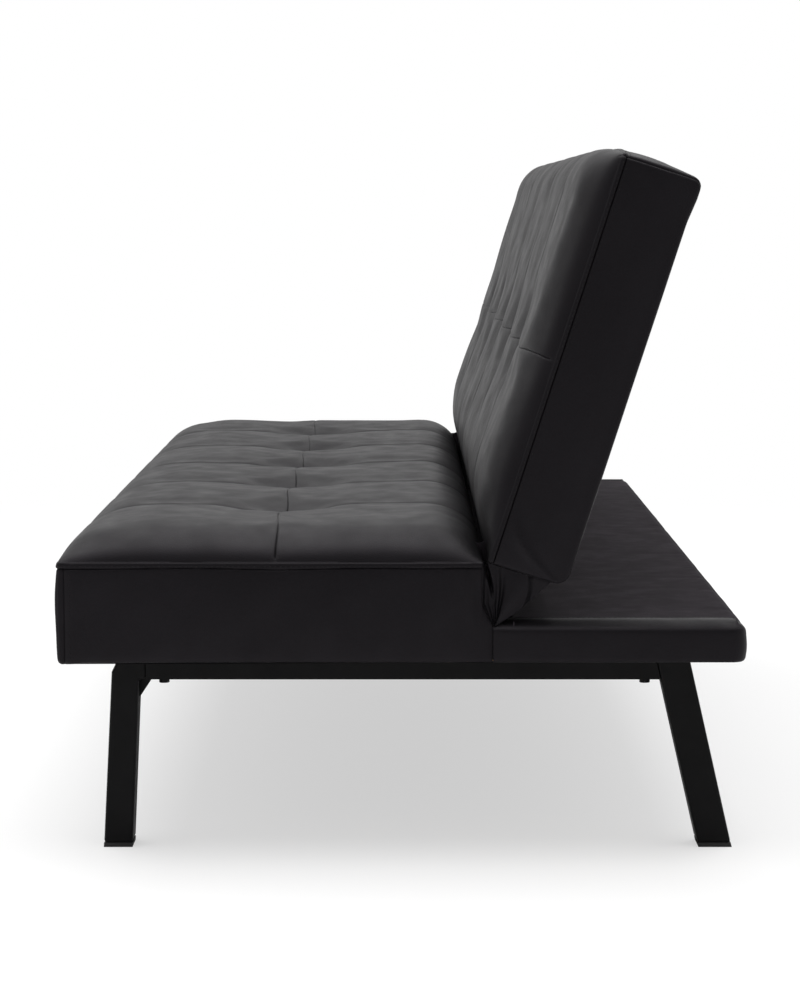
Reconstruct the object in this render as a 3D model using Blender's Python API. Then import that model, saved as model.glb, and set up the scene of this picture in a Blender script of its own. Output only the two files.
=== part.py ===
"""Armless click-clack sofa bed: a tufted seat and a reclining backrest on a thin base with two leg frames.

Metres, +Z up. X runs along the sofa and the front is -Y. The origin is on the floor, under the middle.
Each piece is its own object. The backrest's pieces are modelled as they lie when it is a bed, and an empty
on the hinge axis stands them up.
"""

import math

import bmesh
import bpy
import numpy as np

# Overall sizes
LENGTH = 1.680  # along X, over the bulged end panels
DEPTH = 0.790  # along Y, from the seat's bulged front to the ledge's rear edge
GAP = 0.0003  # between pieces that touch
OVERRUN = 0.010  # how far a cutter runs past the face that it opens
SKIN = 0.0015  # thickness of a covering at its sides

# Base
BASE_UNDERSIDE = 0.237  # above the floor
LEDGE_THICKNESS = 0.047
RAIL_WIDTH = 0.030
RAIL_HEIGHT = 0.030
END_RAIL_WIDTH = 0.034
CROSS_RAIL_WIDTH = 0.044
DECK_THICKNESS = 0.006
LEDGE_FABRIC_THICKNESS = 0.0012
LEDGE_RIM = 0.0385  # width of the leather rim around the ledge's fabric top
LEDGE_TOP_RADIUS = 0.014
LEDGE_BOTTOM_RADIUS = 0.004
LEDGE_CORNER_RADIUS = 0.016
LEDGE_END_STEP = 0.003  # how far the ledge's ends stand out past the seat's end seams
RAIL_REAR_INSET = 0.0125  # from the ledge's rear face to the rails, inside its rounded corners
TURNED_UNDER = 0.026  # width of a covering's hem under the base
DUST_COVER_THICKNESS = 0.0012
DUST_COVER_INSET = 0.010  # from the crossbars

# Seat
SEAT_DEPTH = 0.4845  # between the front seam and the rear face
SEAT_CROWN = 0.045  # panel crests above the seam
END_BULGE = 0.004
FRONT_BULGE = 0.005
SEAT_REAR_FLARE = 0.0115  # the end panels reach this much farther back at their foot
FLARE_HEIGHT = 0.040  # the flared foot's height above the base underside
FLARE_RISE = 0.028  # height over which the flare dies out
QUILT_THICKNESS = 0.006  # quilted cover at the panel crests and tufts
EDGE_ROUND = 0.110  # distance from the edge over which the crown rises
EDGE_POWER = 0.5  # of the crown's rise from an edge, which makes it a quarter ellipse
SEAT_REAR_ROUND = 0.055  # the same distance at the seat's rear edge, under the backrest
SEAT_REAR_POWER = 0.75
BACK_FOOT_POWER = 1.2  # the backrest's foot is flatter, so that it turns clear of the seat
SEAT_UPPER_RING_SHARE = 0.13  # the bulge's upper ring below the seam, as a share of the side's height
SEAT_BULGE_SHARES = (0.62, 1.0, 0.92, 0.0)  # of the full bulge, at the side's rings from the top down

# Tufting, alike on seat and backrest
PANEL_COLUMN_COUNT = 6
PANEL_ROW_COUNT = 2
CROSS_SEAM_DIP = 0.006
LONG_SEAM_DIP = 0.004
SEAT_TUFT_DIP = 0.006
TUFT_REACH_ALONG = 0.034
TUFT_REACH_ACROSS = 0.048
SEAM_WIDTH = 0.050
CELL_SHARES = (0.0, 0.07, 0.24, 0.5, 0.76, 0.93)

# Springs
SPRING_WIRE = 0.0032
SPRING_HALF_WIDTH = 0.022
SPRING_PITCH = 0.052
LOOP_SHARES = (0.15, 0.85)  # where a loop's straight outer part starts and ends along its pitch
SPRING_GRIP = 0.012  # length of spring that lies on each rail
SEAT_SPRINGS = 5
BACK_SPRINGS = 4
SPRING_INSET = 0.216  # from the end seams to the outermost springs

# Backrest
BACK_LENGTH = 0.482
BACK_THICKNESS = 0.0935
BACK_LEAN = math.radians(17.9)  # from vertical
BACK_CROWN = 0.042
BACK_TUFT_DIP = 0.006
BACK_TOP_BULGE = 0.015
BACK_TOP_TAPER = 0.350  # distance from the corners over which the top's bulge grows
BACK_RING_SHARES = (0.74, 0.42)  # the bulge's upper rings above the rear plane, of the thickness
BACK_BULGE_SHARES = (0.75, 1.0, 0.6, 0.25)  # of the full bulge, at the side's rings from the front seam on
BACK_STANDOFF = 0.0055  # its front seam's foot, behind the seat's rear face
BACK_FOOT_RADIUS = 0.012
BACK_HEAD_RADIUS = 0.010
BACK_END_ROUND = 0.003
BACK_RAIL_THICKNESS = 0.028
BACK_RAIL_WIDTH = 0.030
BACK_SIDE_RAIL_WIDTH = 0.034
BACK_POST_WIDTH = 0.036
REAR_PANEL_THICKNESS = 0.0012
REAR_HEM = 0.024

# Click-clack hinge
PIVOT_RISE = 0.006  # above the backrest's bottom face
PIVOT_DEPTH = 0.030  # behind the backrest's front seam
REST_CLEARANCE = 0.0010  # between the laid-back backrest and the ledge
PLATE = 0.003  # thickness of the arms and pawls
PIN_RADIUS = 0.005
PIN_HEAD_RADIUS = 0.0078
PIN_HEAD_HEIGHT = 0.0012
PIN_PLAY = 0.0003
EYE_RADIUS = 0.012
NECK_FROM_SEAT = 0.0015  # the neck stands this far behind the seat's flared foot
NECK_FROM_BACK = 0.0006  # and this far in front of the laid-back backrest
FLANGE_LENGTH = 0.083
FLANGE_HEIGHT = 0.024
SECTOR_ROOT_RADIUS = 0.0185
SECTOR_TIP_RADIUS = 0.0215
SECTOR_TEETH = 5
TOOTH_TIP_SHARES = (0.3, 0.6)  # where a tooth's tip starts and ends along its pitch
SECTOR_FROM = math.radians(196)  # angles about the pivot, from +Y towards +Z, at rest
SECTOR_TO = math.radians(262)
STRAP_REACH = 0.095  # from the pivot to the strap's far end, along the side rail
STRAP_END_RADIUS = 0.011
SLOT_RADIUS = 0.026
SLOT_PLAY = 0.003  # each side of the plates
PAWL_ANGLE = math.radians(236)
PAWL_TIP_RADIUS = 0.0028
PAWL_PLAY = 0.0007  # between the pawl and the tooth tips
PAWL_EYE_RADIUS = 0.0060
PAWL_PIN_RADIUS = 0.0026
PAWL_LENGTH = 0.032
PAWL_SPRING_RADIUS = 0.0016
PAWL_SPRING_DROP = 0.020
GUSSET_THICKNESS = 0.0016
GUSSET_PLEAT = 0.0026
GUSSET_INSET = 0.0060  # from the end seam to the gusset's outer face
GUSSET_GAP = 0.0008
GUSSET_REACH = 0.068  # behind the seat
GUSSET_TIP_DROP = 0.006
GUSSET_WAIST_SHARE = 0.9  # how far the fold at half height follows the lower edge rearwards
GUSSET_COLUMNS = 12

# Leg frames
LEG_INSET = 0.096  # from the end seams to the leg frame
LEG_TUBE = 0.040  # along X
LEG_WALL = 0.002
FRONT_LEG_WIDTH = 0.034
REAR_LEG_WIDTH = 0.0395
FRONT_LEG_INSET = 0.0392  # from the front seam to the leg's front face at the floor
REAR_LEG_INSET = 0.002  # from the ledge's rear face to the leg's rear face at the floor
FRONT_LEG_LEAN = math.radians(2.7)
REAR_LEG_LEAN = math.radians(13.0)
LEG_EDGE = 0.003
CROSSBAR_HEIGHT = 0.0375
STUB_LENGTH = 0.006
FRONT_CHAMFER = (0.0140, 0.0290)
WEB_SIZE = (0.0150, 0.0230)
WEB_THICKNESS = 0.004
CAP_THICKNESS = 0.005
CAP_PLUG = 0.012
FRONT_BOLT_INSET = 0.0378  # from the leg's inner face at the floor
REAR_BOLT_INSET = 0.0639
BOLT_RADIUS = 0.004
BOLT_PLAY = 0.0003
BOLT_HEAD_RADIUS = 0.0062
BOLT_HEAD_HEIGHT = 0.0062
BOLT_REACH = 0.024  # into the cross rail
ROUND_SIDES = 16

# Places that follow from the sizes above
HALF_LENGTH = LENGTH / 2
END_SEAM = HALF_LENGTH - END_BULGE
LEDGE_TOP = BASE_UNDERSIDE + LEDGE_THICKNESS
FRONT_SEAM = FRONT_BULGE - DEPTH / 2
SEAT_REAR = FRONT_SEAM + SEAT_DEPTH
SEAT_FOOT_REAR = SEAT_REAR + SEAT_REAR_FLARE
RAIL_BOTTOM = BASE_UNDERSIDE + SKIN + GAP
RAIL_TOP = RAIL_BOTTOM + RAIL_HEIGHT
DECK_TOP = RAIL_TOP + GAP + DECK_THICKNESS
LEDGE_END = END_SEAM + LEDGE_END_STEP
LEDGE_REAR = DEPTH / 2
LEDGE_FRONT = SEAT_FOOT_REAR + GAP
RAIL_END = END_SEAM - SKIN - GAP
RAIL_FRONT = FRONT_SEAM + SKIN + GAP
RAIL_REAR = LEDGE_REAR - RAIL_REAR_INSET
END_RAIL_INNER = RAIL_END - END_RAIL_WIDTH
MIDDLE_RAIL_REAR = SEAT_REAR + SEAT_REAR_FLARE / 2
SPRING_TOP = RAIL_TOP + GAP + SPRING_WIRE
FOAM_BOTTOM = SPRING_TOP + GAP
FLARE_FROM = BASE_UNDERSIDE + FLARE_HEIGHT
FLARE_TOP = FLARE_FROM + FLARE_RISE
ROUND_EDGE = (EDGE_ROUND, EDGE_POWER)
SEAT_SHAPE = (SEAT_CROWN, SEAT_TUFT_DIP, ROUND_EDGE, (SEAT_REAR_ROUND, SEAT_REAR_POWER))
BACK_SHAPE = (BACK_CROWN, BACK_TUFT_DIP, (EDGE_ROUND, BACK_FOOT_POWER), ROUND_EDGE)
SPRING_SPAN = 2 * (END_SEAM - SPRING_INSET)
LEG_OUTER = END_SEAM - LEG_INSET
LEG_INNER = LEG_OUTER - LEG_TUBE
LEG_MIDDLE = (LEG_OUTER + LEG_INNER) / 2
LEG_TOP = RAIL_BOTTOM - GAP
CROSSBAR_BOTTOM = LEG_TOP - CROSSBAR_HEIGHT
FRONT_LEG_FOOT = FRONT_SEAM + FRONT_LEG_INSET
REAR_LEG_FOOT = LEDGE_REAR - REAR_LEG_INSET
BOLT_PLACES = (
    FRONT_LEG_FOOT + FRONT_LEG_WIDTH + FRONT_BOLT_INSET,
    REAR_LEG_FOOT - REAR_LEG_WIDTH - REAR_BOLT_INSET,
)

# The laid-back backrest has to rest on the ledge, and that fixes the height of the seat's seam,
# where the backrest's front seam starts
LAID_BACK_SEAM = LEDGE_TOP + REST_CLEARANCE + BACK_THICKNESS
SEAT_SEAM_HEIGHT = (
    LAID_BACK_SEAM - PIVOT_RISE * math.cos(BACK_LEAN) - PIVOT_DEPTH * (1 - math.sin(BACK_LEAN))
)
BACK_FOOT = (SEAT_REAR + BACK_STANDOFF, SEAT_SEAM_HEIGHT)
PIVOT = (
    BACK_FOOT[0] + PIVOT_RISE * math.sin(BACK_LEAN) + PIVOT_DEPTH * math.cos(BACK_LEAN),
    BACK_FOOT[1] + PIVOT_RISE * math.cos(BACK_LEAN) - PIVOT_DEPTH * math.sin(BACK_LEAN),
)
PIVOT_HEIGHT = BACK_THICKNESS - PIVOT_DEPTH  # above the backrest's rear plane
RECLINE = math.pi / 2 - BACK_LEAN
DECK_FRONT = PIVOT[0]
NECK_FRONT = SEAT_FOOT_REAR + NECK_FROM_SEAT
NECK_REAR = PIVOT[0] - PIVOT_RISE - NECK_FROM_BACK
FIXED_PLATE_OUTER = END_RAIL_INNER - GAP
FIXED_PLATE_INNER = FIXED_PLATE_OUTER - PLATE
MOVING_PLATE_OUTER = FIXED_PLATE_INNER - PIN_PLAY - GAP
MOVING_PLATE_INNER = MOVING_PLATE_OUTER - PLATE
BACK_SIDE_RAIL_OUTER = MOVING_PLATE_OUTER + GAP + BACK_SIDE_RAIL_WIDTH


def clear_scene():
    for obj in list(bpy.data.objects):
        bpy.data.objects.remove(obj, do_unlink=True)


def make_material(name, colour, roughness, metallic=0.0):
    material = bpy.data.materials.new(name)
    material.use_nodes = True
    shader = material.node_tree.nodes["Principled BSDF"]
    shader.inputs["Base Color"].default_value = (*colour, 1.0)
    shader.inputs["Roughness"].default_value = roughness
    shader.inputs["Metallic"].default_value = metallic
    material.diffuse_color = (*colour, 1.0)
    return material


def make_materials():
    return {
        "leather": make_material("black_faux_leather", (0.018, 0.017, 0.019), 0.45),
        "fabric": make_material("black_matte_fabric", (0.022, 0.021, 0.022), 0.95),
        "foam": make_material("foam", (0.75, 0.72, 0.62), 0.95),
        "timber": make_material("timber", (0.42, 0.27, 0.14), 0.7),
        "steel": make_material("bright_steel", (0.55, 0.55, 0.56), 0.35, 1.0),
        "black_metal": make_material("black_painted_metal", (0.012, 0.012, 0.013), 0.4, 0.3),
        "plastic": make_material("black_plastic", (0.02, 0.02, 0.02), 0.6),
    }


def finish(name, mesh, material, frame=None):
    """Add the mesh to the scene as an object. A frame is (parent empty, location)."""
    mesh.shade_smooth()
    mesh.set_sharp_from_angle(angle=math.radians(35))
    if material:
        mesh.materials.append(material)
    obj = bpy.data.objects.new(name, mesh)
    bpy.context.scene.collection.objects.link(obj)
    if frame:
        obj.parent, obj.location = frame
    return obj


def mesh_of(name, points, faces):
    mesh = bpy.data.meshes.new(name)
    work = bmesh.new()
    corners = [work.verts.new(tuple(float(c) for c in point)) for point in points]
    for face in faces:
        work.faces.new([corners[i] for i in face])
    bmesh.ops.recalc_face_normals(work, faces=work.faces)
    work.to_mesh(mesh)
    work.free()
    return mesh


def loft(name, rings, material, frame=None):
    """A closed solid through rings of equally many points, with a flat cap at each end."""
    count = len(rings[0])
    points = [point for ring in rings for point in ring]
    faces = []
    for level in range(len(rings) - 1):
        low = level * count
        high = low + count
        for i in range(count):
            j = (i + 1) % count
            faces.append((low + i, low + j, high + j, high + i))
    faces.append(tuple(range(count)))
    faces.append(tuple(range(len(points) - count, len(points))))
    return finish(name, mesh_of(name, points, faces), material, frame)


def box(name, low, high, material, frame=None):
    rings = [
        [(low[0], low[1], z), (high[0], low[1], z), (high[0], high[1], z), (low[0], high[1], z)]
        for z in (low[2], high[2])
    ]
    return loft(name, rings, material, frame)


def plate(name, outline, x_low, x_high, material, frame=None):
    """A flat piece in a plane of constant X, from an outline of (y, z) points."""
    return loft(name, [[(x, y, z) for y, z in outline] for x in (x_low, x_high)], material, frame)


def circle(centre, radius, start=0.0, end=2 * math.pi, sides=ROUND_SIDES):
    """Points along an arc, from start to end. A full circle leaves its last point out."""
    full = math.isclose(end - start, 2 * math.pi)
    steps = sides if full else max(2, math.ceil(sides * abs(end - start) / (2 * math.pi)))
    angles = [start + (end - start) * i / steps for i in range(steps if full else steps + 1)]
    return [(centre[0] + radius * math.cos(a), centre[1] + radius * math.sin(a)) for a in angles]


def capsule(first, first_radius, second, second_radius):
    """The outline of a link: two round eyes and the straight sides that touch both."""
    along = math.atan2(second[1] - first[1], second[0] - first[0])
    reach = math.hypot(second[0] - first[0], second[1] - first[1])
    open_by = math.acos((first_radius - second_radius) / reach)
    return circle(first, first_radius, along + open_by, along + 2 * math.pi - open_by) + circle(
        second, second_radius, along - open_by, along + open_by
    )


def turned(name, axis, centre, profile, material, frame=None):
    """A solid turned about a line along the axis letter, from (radius, place along the axis) pairs."""
    rings = []
    for radius, place in profile:
        ring = circle(centre, radius)
        if axis == "X":
            rings.append([(place, a, b) for a, b in ring])
        else:
            rings.append([(a, b, place) for a, b in ring])
    return loft(name, rings, material, frame)


def helper(obj):
    obj.hide_render = True
    obj.display_type = "WIRE"
    return obj


def boolean(obj, operation, other):
    modifier = obj.modifiers.new(operation.lower(), "BOOLEAN")
    modifier.operation = operation
    modifier.solver = "EXACT"
    modifier.object = helper(other)


def cut(obj, other):
    boolean(obj, "DIFFERENCE", other)


def join(obj, other):
    boolean(obj, "UNION", other)


def bevel_edges(obj, width, segments=2):
    modifier = obj.modifiers.new("edges", "BEVEL")
    modifier.width = width
    modifier.segments = segments
    modifier.limit_method = "ANGLE"
    modifier.angle_limit = math.radians(60)


def both_ends():
    return (("left", -1), ("right", 1))


def span(side, inner, outer):
    """The low and high X of something between two distances from the middle, on one side."""
    return (inner, outer) if side > 0 else (-outer, -inner)


def grid_lines(low, high, panels, shares=CELL_SHARES):
    """Lines across equal panels, closer together beside each seam."""
    width = (high - low) / panels
    return [low + width * (panel + share) for panel in range(panels) for share in shares] + [high]


def edge_rise(distance, reach, power=EDGE_POWER):
    """0 at an edge and 1 from the reach inwards: (1 - (1 - distance / reach)^2)^power."""
    near = np.clip(np.asarray(distance) / reach, 0.0, 1.0)
    return (1.0 - (1.0 - near) ** 2) ** power


def seam_dip(place, width, panels):
    """1 on each inner seam, fading to 0 within the seam's width. Place runs from 0 to the whole width."""
    step = width / panels
    nearest = np.clip(np.round(place / step), 1, panels - 1) * step
    return np.exp(-(((place - nearest) / (SEAM_WIDTH / 2)) ** 2))


def tufted_height(along, across, length, width, shape):
    """Height of the quilted top above its edge seam.

    rise(x) * rise(y) * (crown - seam dips - tuft dip * exp(-(dx / reach_x)^2 - (dy / reach_y)^2)), with a
    tuft where each cross seam meets the long middle seam. The shape is (crown, tuft dip, rise at the low
    side, rise at the high side), and each rise is (reach, power).
    """
    crown, tuft_dip, low_rise, high_rise = shape
    rise_low = edge_rise(across, *low_rise)
    rise_high = edge_rise(width - across, *high_rise)
    rise = edge_rise(np.minimum(along, length - along), EDGE_ROUND) * rise_low * rise_high
    step = length / PANEL_COLUMN_COUNT
    nearest = np.clip(np.round(along / step), 1, PANEL_COLUMN_COUNT - 1) * step
    from_tuft = ((along - nearest) / TUFT_REACH_ALONG) ** 2 + (
        (across - width / PANEL_ROW_COUNT) / TUFT_REACH_ACROSS
    ) ** 2
    dips = CROSS_SEAM_DIP * seam_dip(along, length, PANEL_COLUMN_COUNT)
    dips = dips + LONG_SEAM_DIP * seam_dip(across, width, PANEL_ROW_COUNT)
    dips = dips + tuft_dip * np.exp(-from_tuft)
    return np.maximum(rise * (crown - dips), 0.0)


def rim_indices(columns, rows):
    """The grid's boundary, once round."""
    front = [(i, 0) for i in range(columns)]
    right = [(columns - 1, j) for j in range(1, rows)]
    rear = [(i, rows - 1) for i in range(columns - 2, -1, -1)]
    left = [(0, j) for j in range(rows - 2, 0, -1)]
    return front + right + rear + left


def cushion(name, x_lines, y_lines, heights, rings, material, frame=None):
    """A closed cushion: a top over the grid, side rings below its rim, and a flat bottom.

    Each ring is (z, offset), where offset(x, y, side) is how far the rim moves out there, as (dx, dy).
    """
    columns = len(x_lines)
    rows = len(y_lines)
    points = [(x, y, heights[i, j]) for i, x in enumerate(x_lines) for j, y in enumerate(y_lines)]
    faces = []
    for i in range(columns - 1):
        for j in range(rows - 1):
            faces.append(
                (i * rows + j, (i + 1) * rows + j, (i + 1) * rows + j + 1, i * rows + j + 1)
            )
    rim = rim_indices(columns, rows)
    above = [i * rows + j for i, j in rim]
    for z, offset in rings:
        below = []
        for i, j in rim:
            x = x_lines[i]
            y = y_lines[j]
            side = (
                (i == columns - 1) - (i == 0),
                (j == rows - 1) - (j == 0),
            )
            dx, dy = offset(x, y, side)
            below.append(len(points))
            points.append((x + dx, y + dy, z))
        for k in range(len(rim)):
            m = (k + 1) % len(rim)
            faces.append((above[k], above[m], below[m], below[k]))
        above = below
    faces.append(tuple(above))
    return finish(name, mesh_of(name, points, faces), material, frame)


def build_cover(name, x_span, y_span, seam_z, shape, rings, material, frame=None):
    x_lines = grid_lines(*x_span, PANEL_COLUMN_COUNT)
    y_lines = grid_lines(*y_span, PANEL_ROW_COUNT)
    along, across = np.meshgrid(
        np.array(x_lines) - x_span[0], np.array(y_lines) - y_span[0], indexing="ij"
    )
    length = x_span[1] - x_span[0]
    width = y_span[1] - y_span[0]
    heights = seam_z + tufted_height(along, across, length, width, shape)
    return cushion(name, x_lines, y_lines, heights, rings, material, frame)


def build_core(name, x_span, y_span, inset, seam_z, shape, drop, rings, material, frame=None):
    """The coarse form inside a cover: straight facets between seams, tufts and panel middles."""
    half_shares = (0.0, 0.5)
    x_lines = grid_lines(x_span[0], x_span[1], PANEL_COLUMN_COUNT, half_shares)
    y_lines = grid_lines(y_span[0], y_span[1], PANEL_ROW_COUNT, half_shares)
    along, across = np.meshgrid(
        np.array(x_lines) - x_span[0], np.array(y_lines) - y_span[0], indexing="ij"
    )
    length = x_span[1] - x_span[0]
    width = y_span[1] - y_span[0]
    heights = seam_z + tufted_height(along, across, length, width, shape) - drop
    heights[[0, -1], :] = seam_z - inset
    heights[:, [0, -1]] = seam_z - inset
    x_lines[0] += inset
    x_lines[-1] -= inset
    y_lines[0] += inset
    y_lines[-1] -= inset
    return cushion(name, x_lines, y_lines, heights, rings, material, frame)


def straight(x, y, side):
    return (0.0, 0.0)


def side_bulge(amounts, x_limit, y_span, long_taper):
    """An offset that swells each side between the corner seams: the ends, the low and the high side."""
    ends, low, high = amounts

    def offset(x, y, side):
        near_x = float(edge_rise(x_limit - abs(x), long_taper))
        near_y = float(edge_rise(min(y - y_span[0], y_span[1] - y), EDGE_ROUND))
        across = high if side[1] > 0 else low
        return (side[0] * ends * near_y, side[1] * across * near_x)

    return offset


def both_offsets(first, second):
    def offset(x, y, side):
        a = first(x, y, side)
        b = second(x, y, side)
        return (a[0] + b[0], a[1] + b[1])

    return offset


def rear_shift(amount):
    def offset(x, y, side):
        return (0.0, amount if side[1] > 0 else 0.0)

    return offset


def draw_in(ends, low, high):
    def offset(x, y, side):
        across = high if side[1] > 0 else low
        return (-side[0] * ends, -side[1] * across)

    return offset


def seat_offsets(level, bulge_share):
    """Side offsets of the seat's cover at a height: bulged ends and front, and the flared foot behind."""
    flare_share = min(max((FLARE_TOP - level) / FLARE_RISE, 0.0), 1.0)
    amounts = (END_BULGE * bulge_share, FRONT_BULGE * bulge_share, 0.0)
    swell = side_bulge(amounts, END_SEAM, (FRONT_SEAM, SEAT_REAR), EDGE_ROUND)
    return both_offsets(swell, rear_shift(SEAT_REAR_FLARE * flare_share))


def build_seat(materials):
    x_span = (-END_SEAM, END_SEAM)
    y_span = (FRONT_SEAM, SEAT_REAR)
    upper_ring = SEAT_SEAM_HEIGHT - SEAT_UPPER_RING_SHARE * (SEAT_SEAM_HEIGHT - BASE_UNDERSIDE)
    levels = (upper_ring, FLARE_TOP, FLARE_FROM, BASE_UNDERSIDE)
    rings = [(level, seat_offsets(level, share)) for level, share in zip(levels, SEAT_BULGE_SHARES)]
    leather = materials["leather"]
    cover = build_cover("seat_cover", x_span, y_span, SEAT_SEAM_HEIGHT, SEAT_SHAPE, rings, leather)
    flared = rear_shift(SEAT_REAR_FLARE)
    core_rings = [(FLARE_TOP, straight), (FLARE_FROM, flared), (BASE_UNDERSIDE + SKIN, flared)]
    core = build_core(
        "seat_cavity", x_span, y_span, SKIN, SEAT_SEAM_HEIGHT, SEAT_SHAPE, QUILT_THICKNESS, core_rings, None
    )
    cut(cover, core)
    hem = SKIN + TURNED_UNDER
    cut(
        cover,
        box(
            "seat_underside_opening",
            (hem - END_SEAM, FRONT_SEAM + hem, BASE_UNDERSIDE - OVERRUN),
            (END_SEAM - hem, SEAT_FOOT_REAR + OVERRUN, BASE_UNDERSIDE + SKIN + OVERRUN),
            None,
        ),
    )
    inside = END_SEAM - SKIN
    cut(
        cover,
        box(
            "seat_rear_opening",
            (-inside, SEAT_REAR, BASE_UNDERSIDE - OVERRUN),
            (inside, SEAT_FOOT_REAR + OVERRUN, RAIL_TOP + GAP),
            None,
        ),
    )
    build_core(
        "seat_foam",
        x_span,
        y_span,
        SKIN + GAP,
        SEAT_SEAM_HEIGHT,
        SEAT_SHAPE,
        QUILT_THICKNESS + GAP,
        [(FOAM_BOTTOM, straight)],
        materials["foam"],
    )


def build_rails(materials):
    timber = materials["timber"]
    inner_front = RAIL_FRONT + RAIL_WIDTH
    inner_rear = RAIL_REAR - RAIL_WIDTH
    box("front_rail", (-RAIL_END, RAIL_FRONT, RAIL_BOTTOM), (RAIL_END, inner_front, RAIL_TOP), timber)
    box("rear_rail", (-RAIL_END, inner_rear, RAIL_BOTTOM), (RAIL_END, RAIL_REAR, RAIL_TOP), timber)
    cross_inner = LEG_MIDDLE - CROSS_RAIL_WIDTH / 2
    cross_outer = LEG_MIDDLE + CROSS_RAIL_WIDTH / 2
    for name, side in both_ends():
        x_low, x_high = span(side, END_RAIL_INNER, RAIL_END)
        low = (x_low, inner_front + GAP, RAIL_BOTTOM)
        high = (x_high, inner_rear - GAP, RAIL_TOP)
        box(f"end_rail_{name}", low, high, timber)
        x_low, x_high = span(side, cross_inner, cross_outer)
        cross = box(
            f"cross_rail_{name}",
            (x_low, inner_front + GAP, RAIL_BOTTOM),
            (x_high, inner_rear - GAP, RAIL_TOP),
            timber,
        )
        for i, y in enumerate(BOLT_PLACES):
            hole = turned(
                f"cross_rail_hole_{name}_{i}",
                "Z",
                (side * LEG_MIDDLE, y),
                [
                    (BOLT_RADIUS + BOLT_PLAY, RAIL_BOTTOM - OVERRUN),
                    (BOLT_RADIUS + BOLT_PLAY, RAIL_BOTTOM + BOLT_REACH + BOLT_PLAY),
                ],
                None,
            )
            cut(cross, hole)
    middle_end = cross_inner - GAP
    box(
        "middle_rail",
        (-middle_end, MIDDLE_RAIL_REAR - RAIL_WIDTH, RAIL_BOTTOM),
        (middle_end, MIDDLE_RAIL_REAR, RAIL_TOP),
        timber,
    )


def sinuous(name, start, end, x, height, material, frame=None):
    """A zigzag spring of flat loops from start to end across the frame, at one height."""
    loops = max(2, round((end - start - 2 * SPRING_GRIP) / SPRING_PITCH))
    pitch = (end - start - 2 * SPRING_GRIP) / loops
    points = [(x, start)]
    for i in range(loops):
        side = 1 if i % 2 else -1
        y = start + SPRING_GRIP + pitch * i
        points.extend((x + side * SPRING_HALF_WIDTH, y + pitch * share) for share in LOOP_SHARES)
    points.append((x, end))
    curve = bpy.data.curves.new(name, "CURVE")
    curve.dimensions = "3D"
    curve.bevel_depth = SPRING_WIRE / 2
    curve.bevel_resolution = 0
    curve.use_fill_caps = True
    line = curve.splines.new("POLY")
    line.points.add(len(points) - 1)
    for target, (px, py) in zip(line.points, points):
        target.co = (px, py, height, 1.0)
    curve.materials.append(material)
    obj = bpy.data.objects.new(name, curve)
    bpy.context.scene.collection.objects.link(obj)
    if frame:
        obj.parent, obj.location = frame
    return obj


def build_seat_springs(materials):
    start = RAIL_FRONT + RAIL_WIDTH / 2
    end = MIDDLE_RAIL_REAR - RAIL_WIDTH / 2
    height = RAIL_TOP + GAP + SPRING_WIRE / 2
    for i in range(SEAT_SPRINGS):
        x = SPRING_SPAN * (i / (SEAT_SPRINGS - 1) - 0.5)
        sinuous(f"seat_spring_{i + 1}", start, end, x, height, materials["steel"])


def ledge_outline(inset, z):
    """The ledge in plan at one height, drawn in at its ends and rear: square in front, rounded behind."""
    x = LEDGE_END - inset
    y = LEDGE_REAR - inset
    radius = LEDGE_CORNER_RADIUS - inset
    right = circle((x - radius, y - radius), radius, 0.0, math.pi / 2)
    left = circle((radius - x, y - radius), radius, math.pi / 2, math.pi)
    return [(px, py, z) for px, py in [(x, LEDGE_FRONT), *right, *left, (-x, LEDGE_FRONT)]]


def ledge_form(name, inset, front, material):
    """The ledge's rounded slab, made smaller all round by the inset, and longer in front if asked."""
    low = BASE_UNDERSIDE + inset
    high = LEDGE_TOP - inset
    bottom = LEDGE_BOTTOM_RADIUS - inset
    top = LEDGE_TOP_RADIUS - inset
    quarter = [math.pi / 8 * i for i in range(5)]
    rings = [ledge_outline(inset + bottom, low), ledge_outline(inset, low + bottom)]
    for a in quarter:
        rings.append(ledge_outline(inset + top * (1 - math.cos(a)), high - top + top * math.sin(a)))
    rings = [[(x, y if y > LEDGE_FRONT else front, z) for x, y, z in ring] for ring in rings]
    return loft(name, rings, material)


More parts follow.
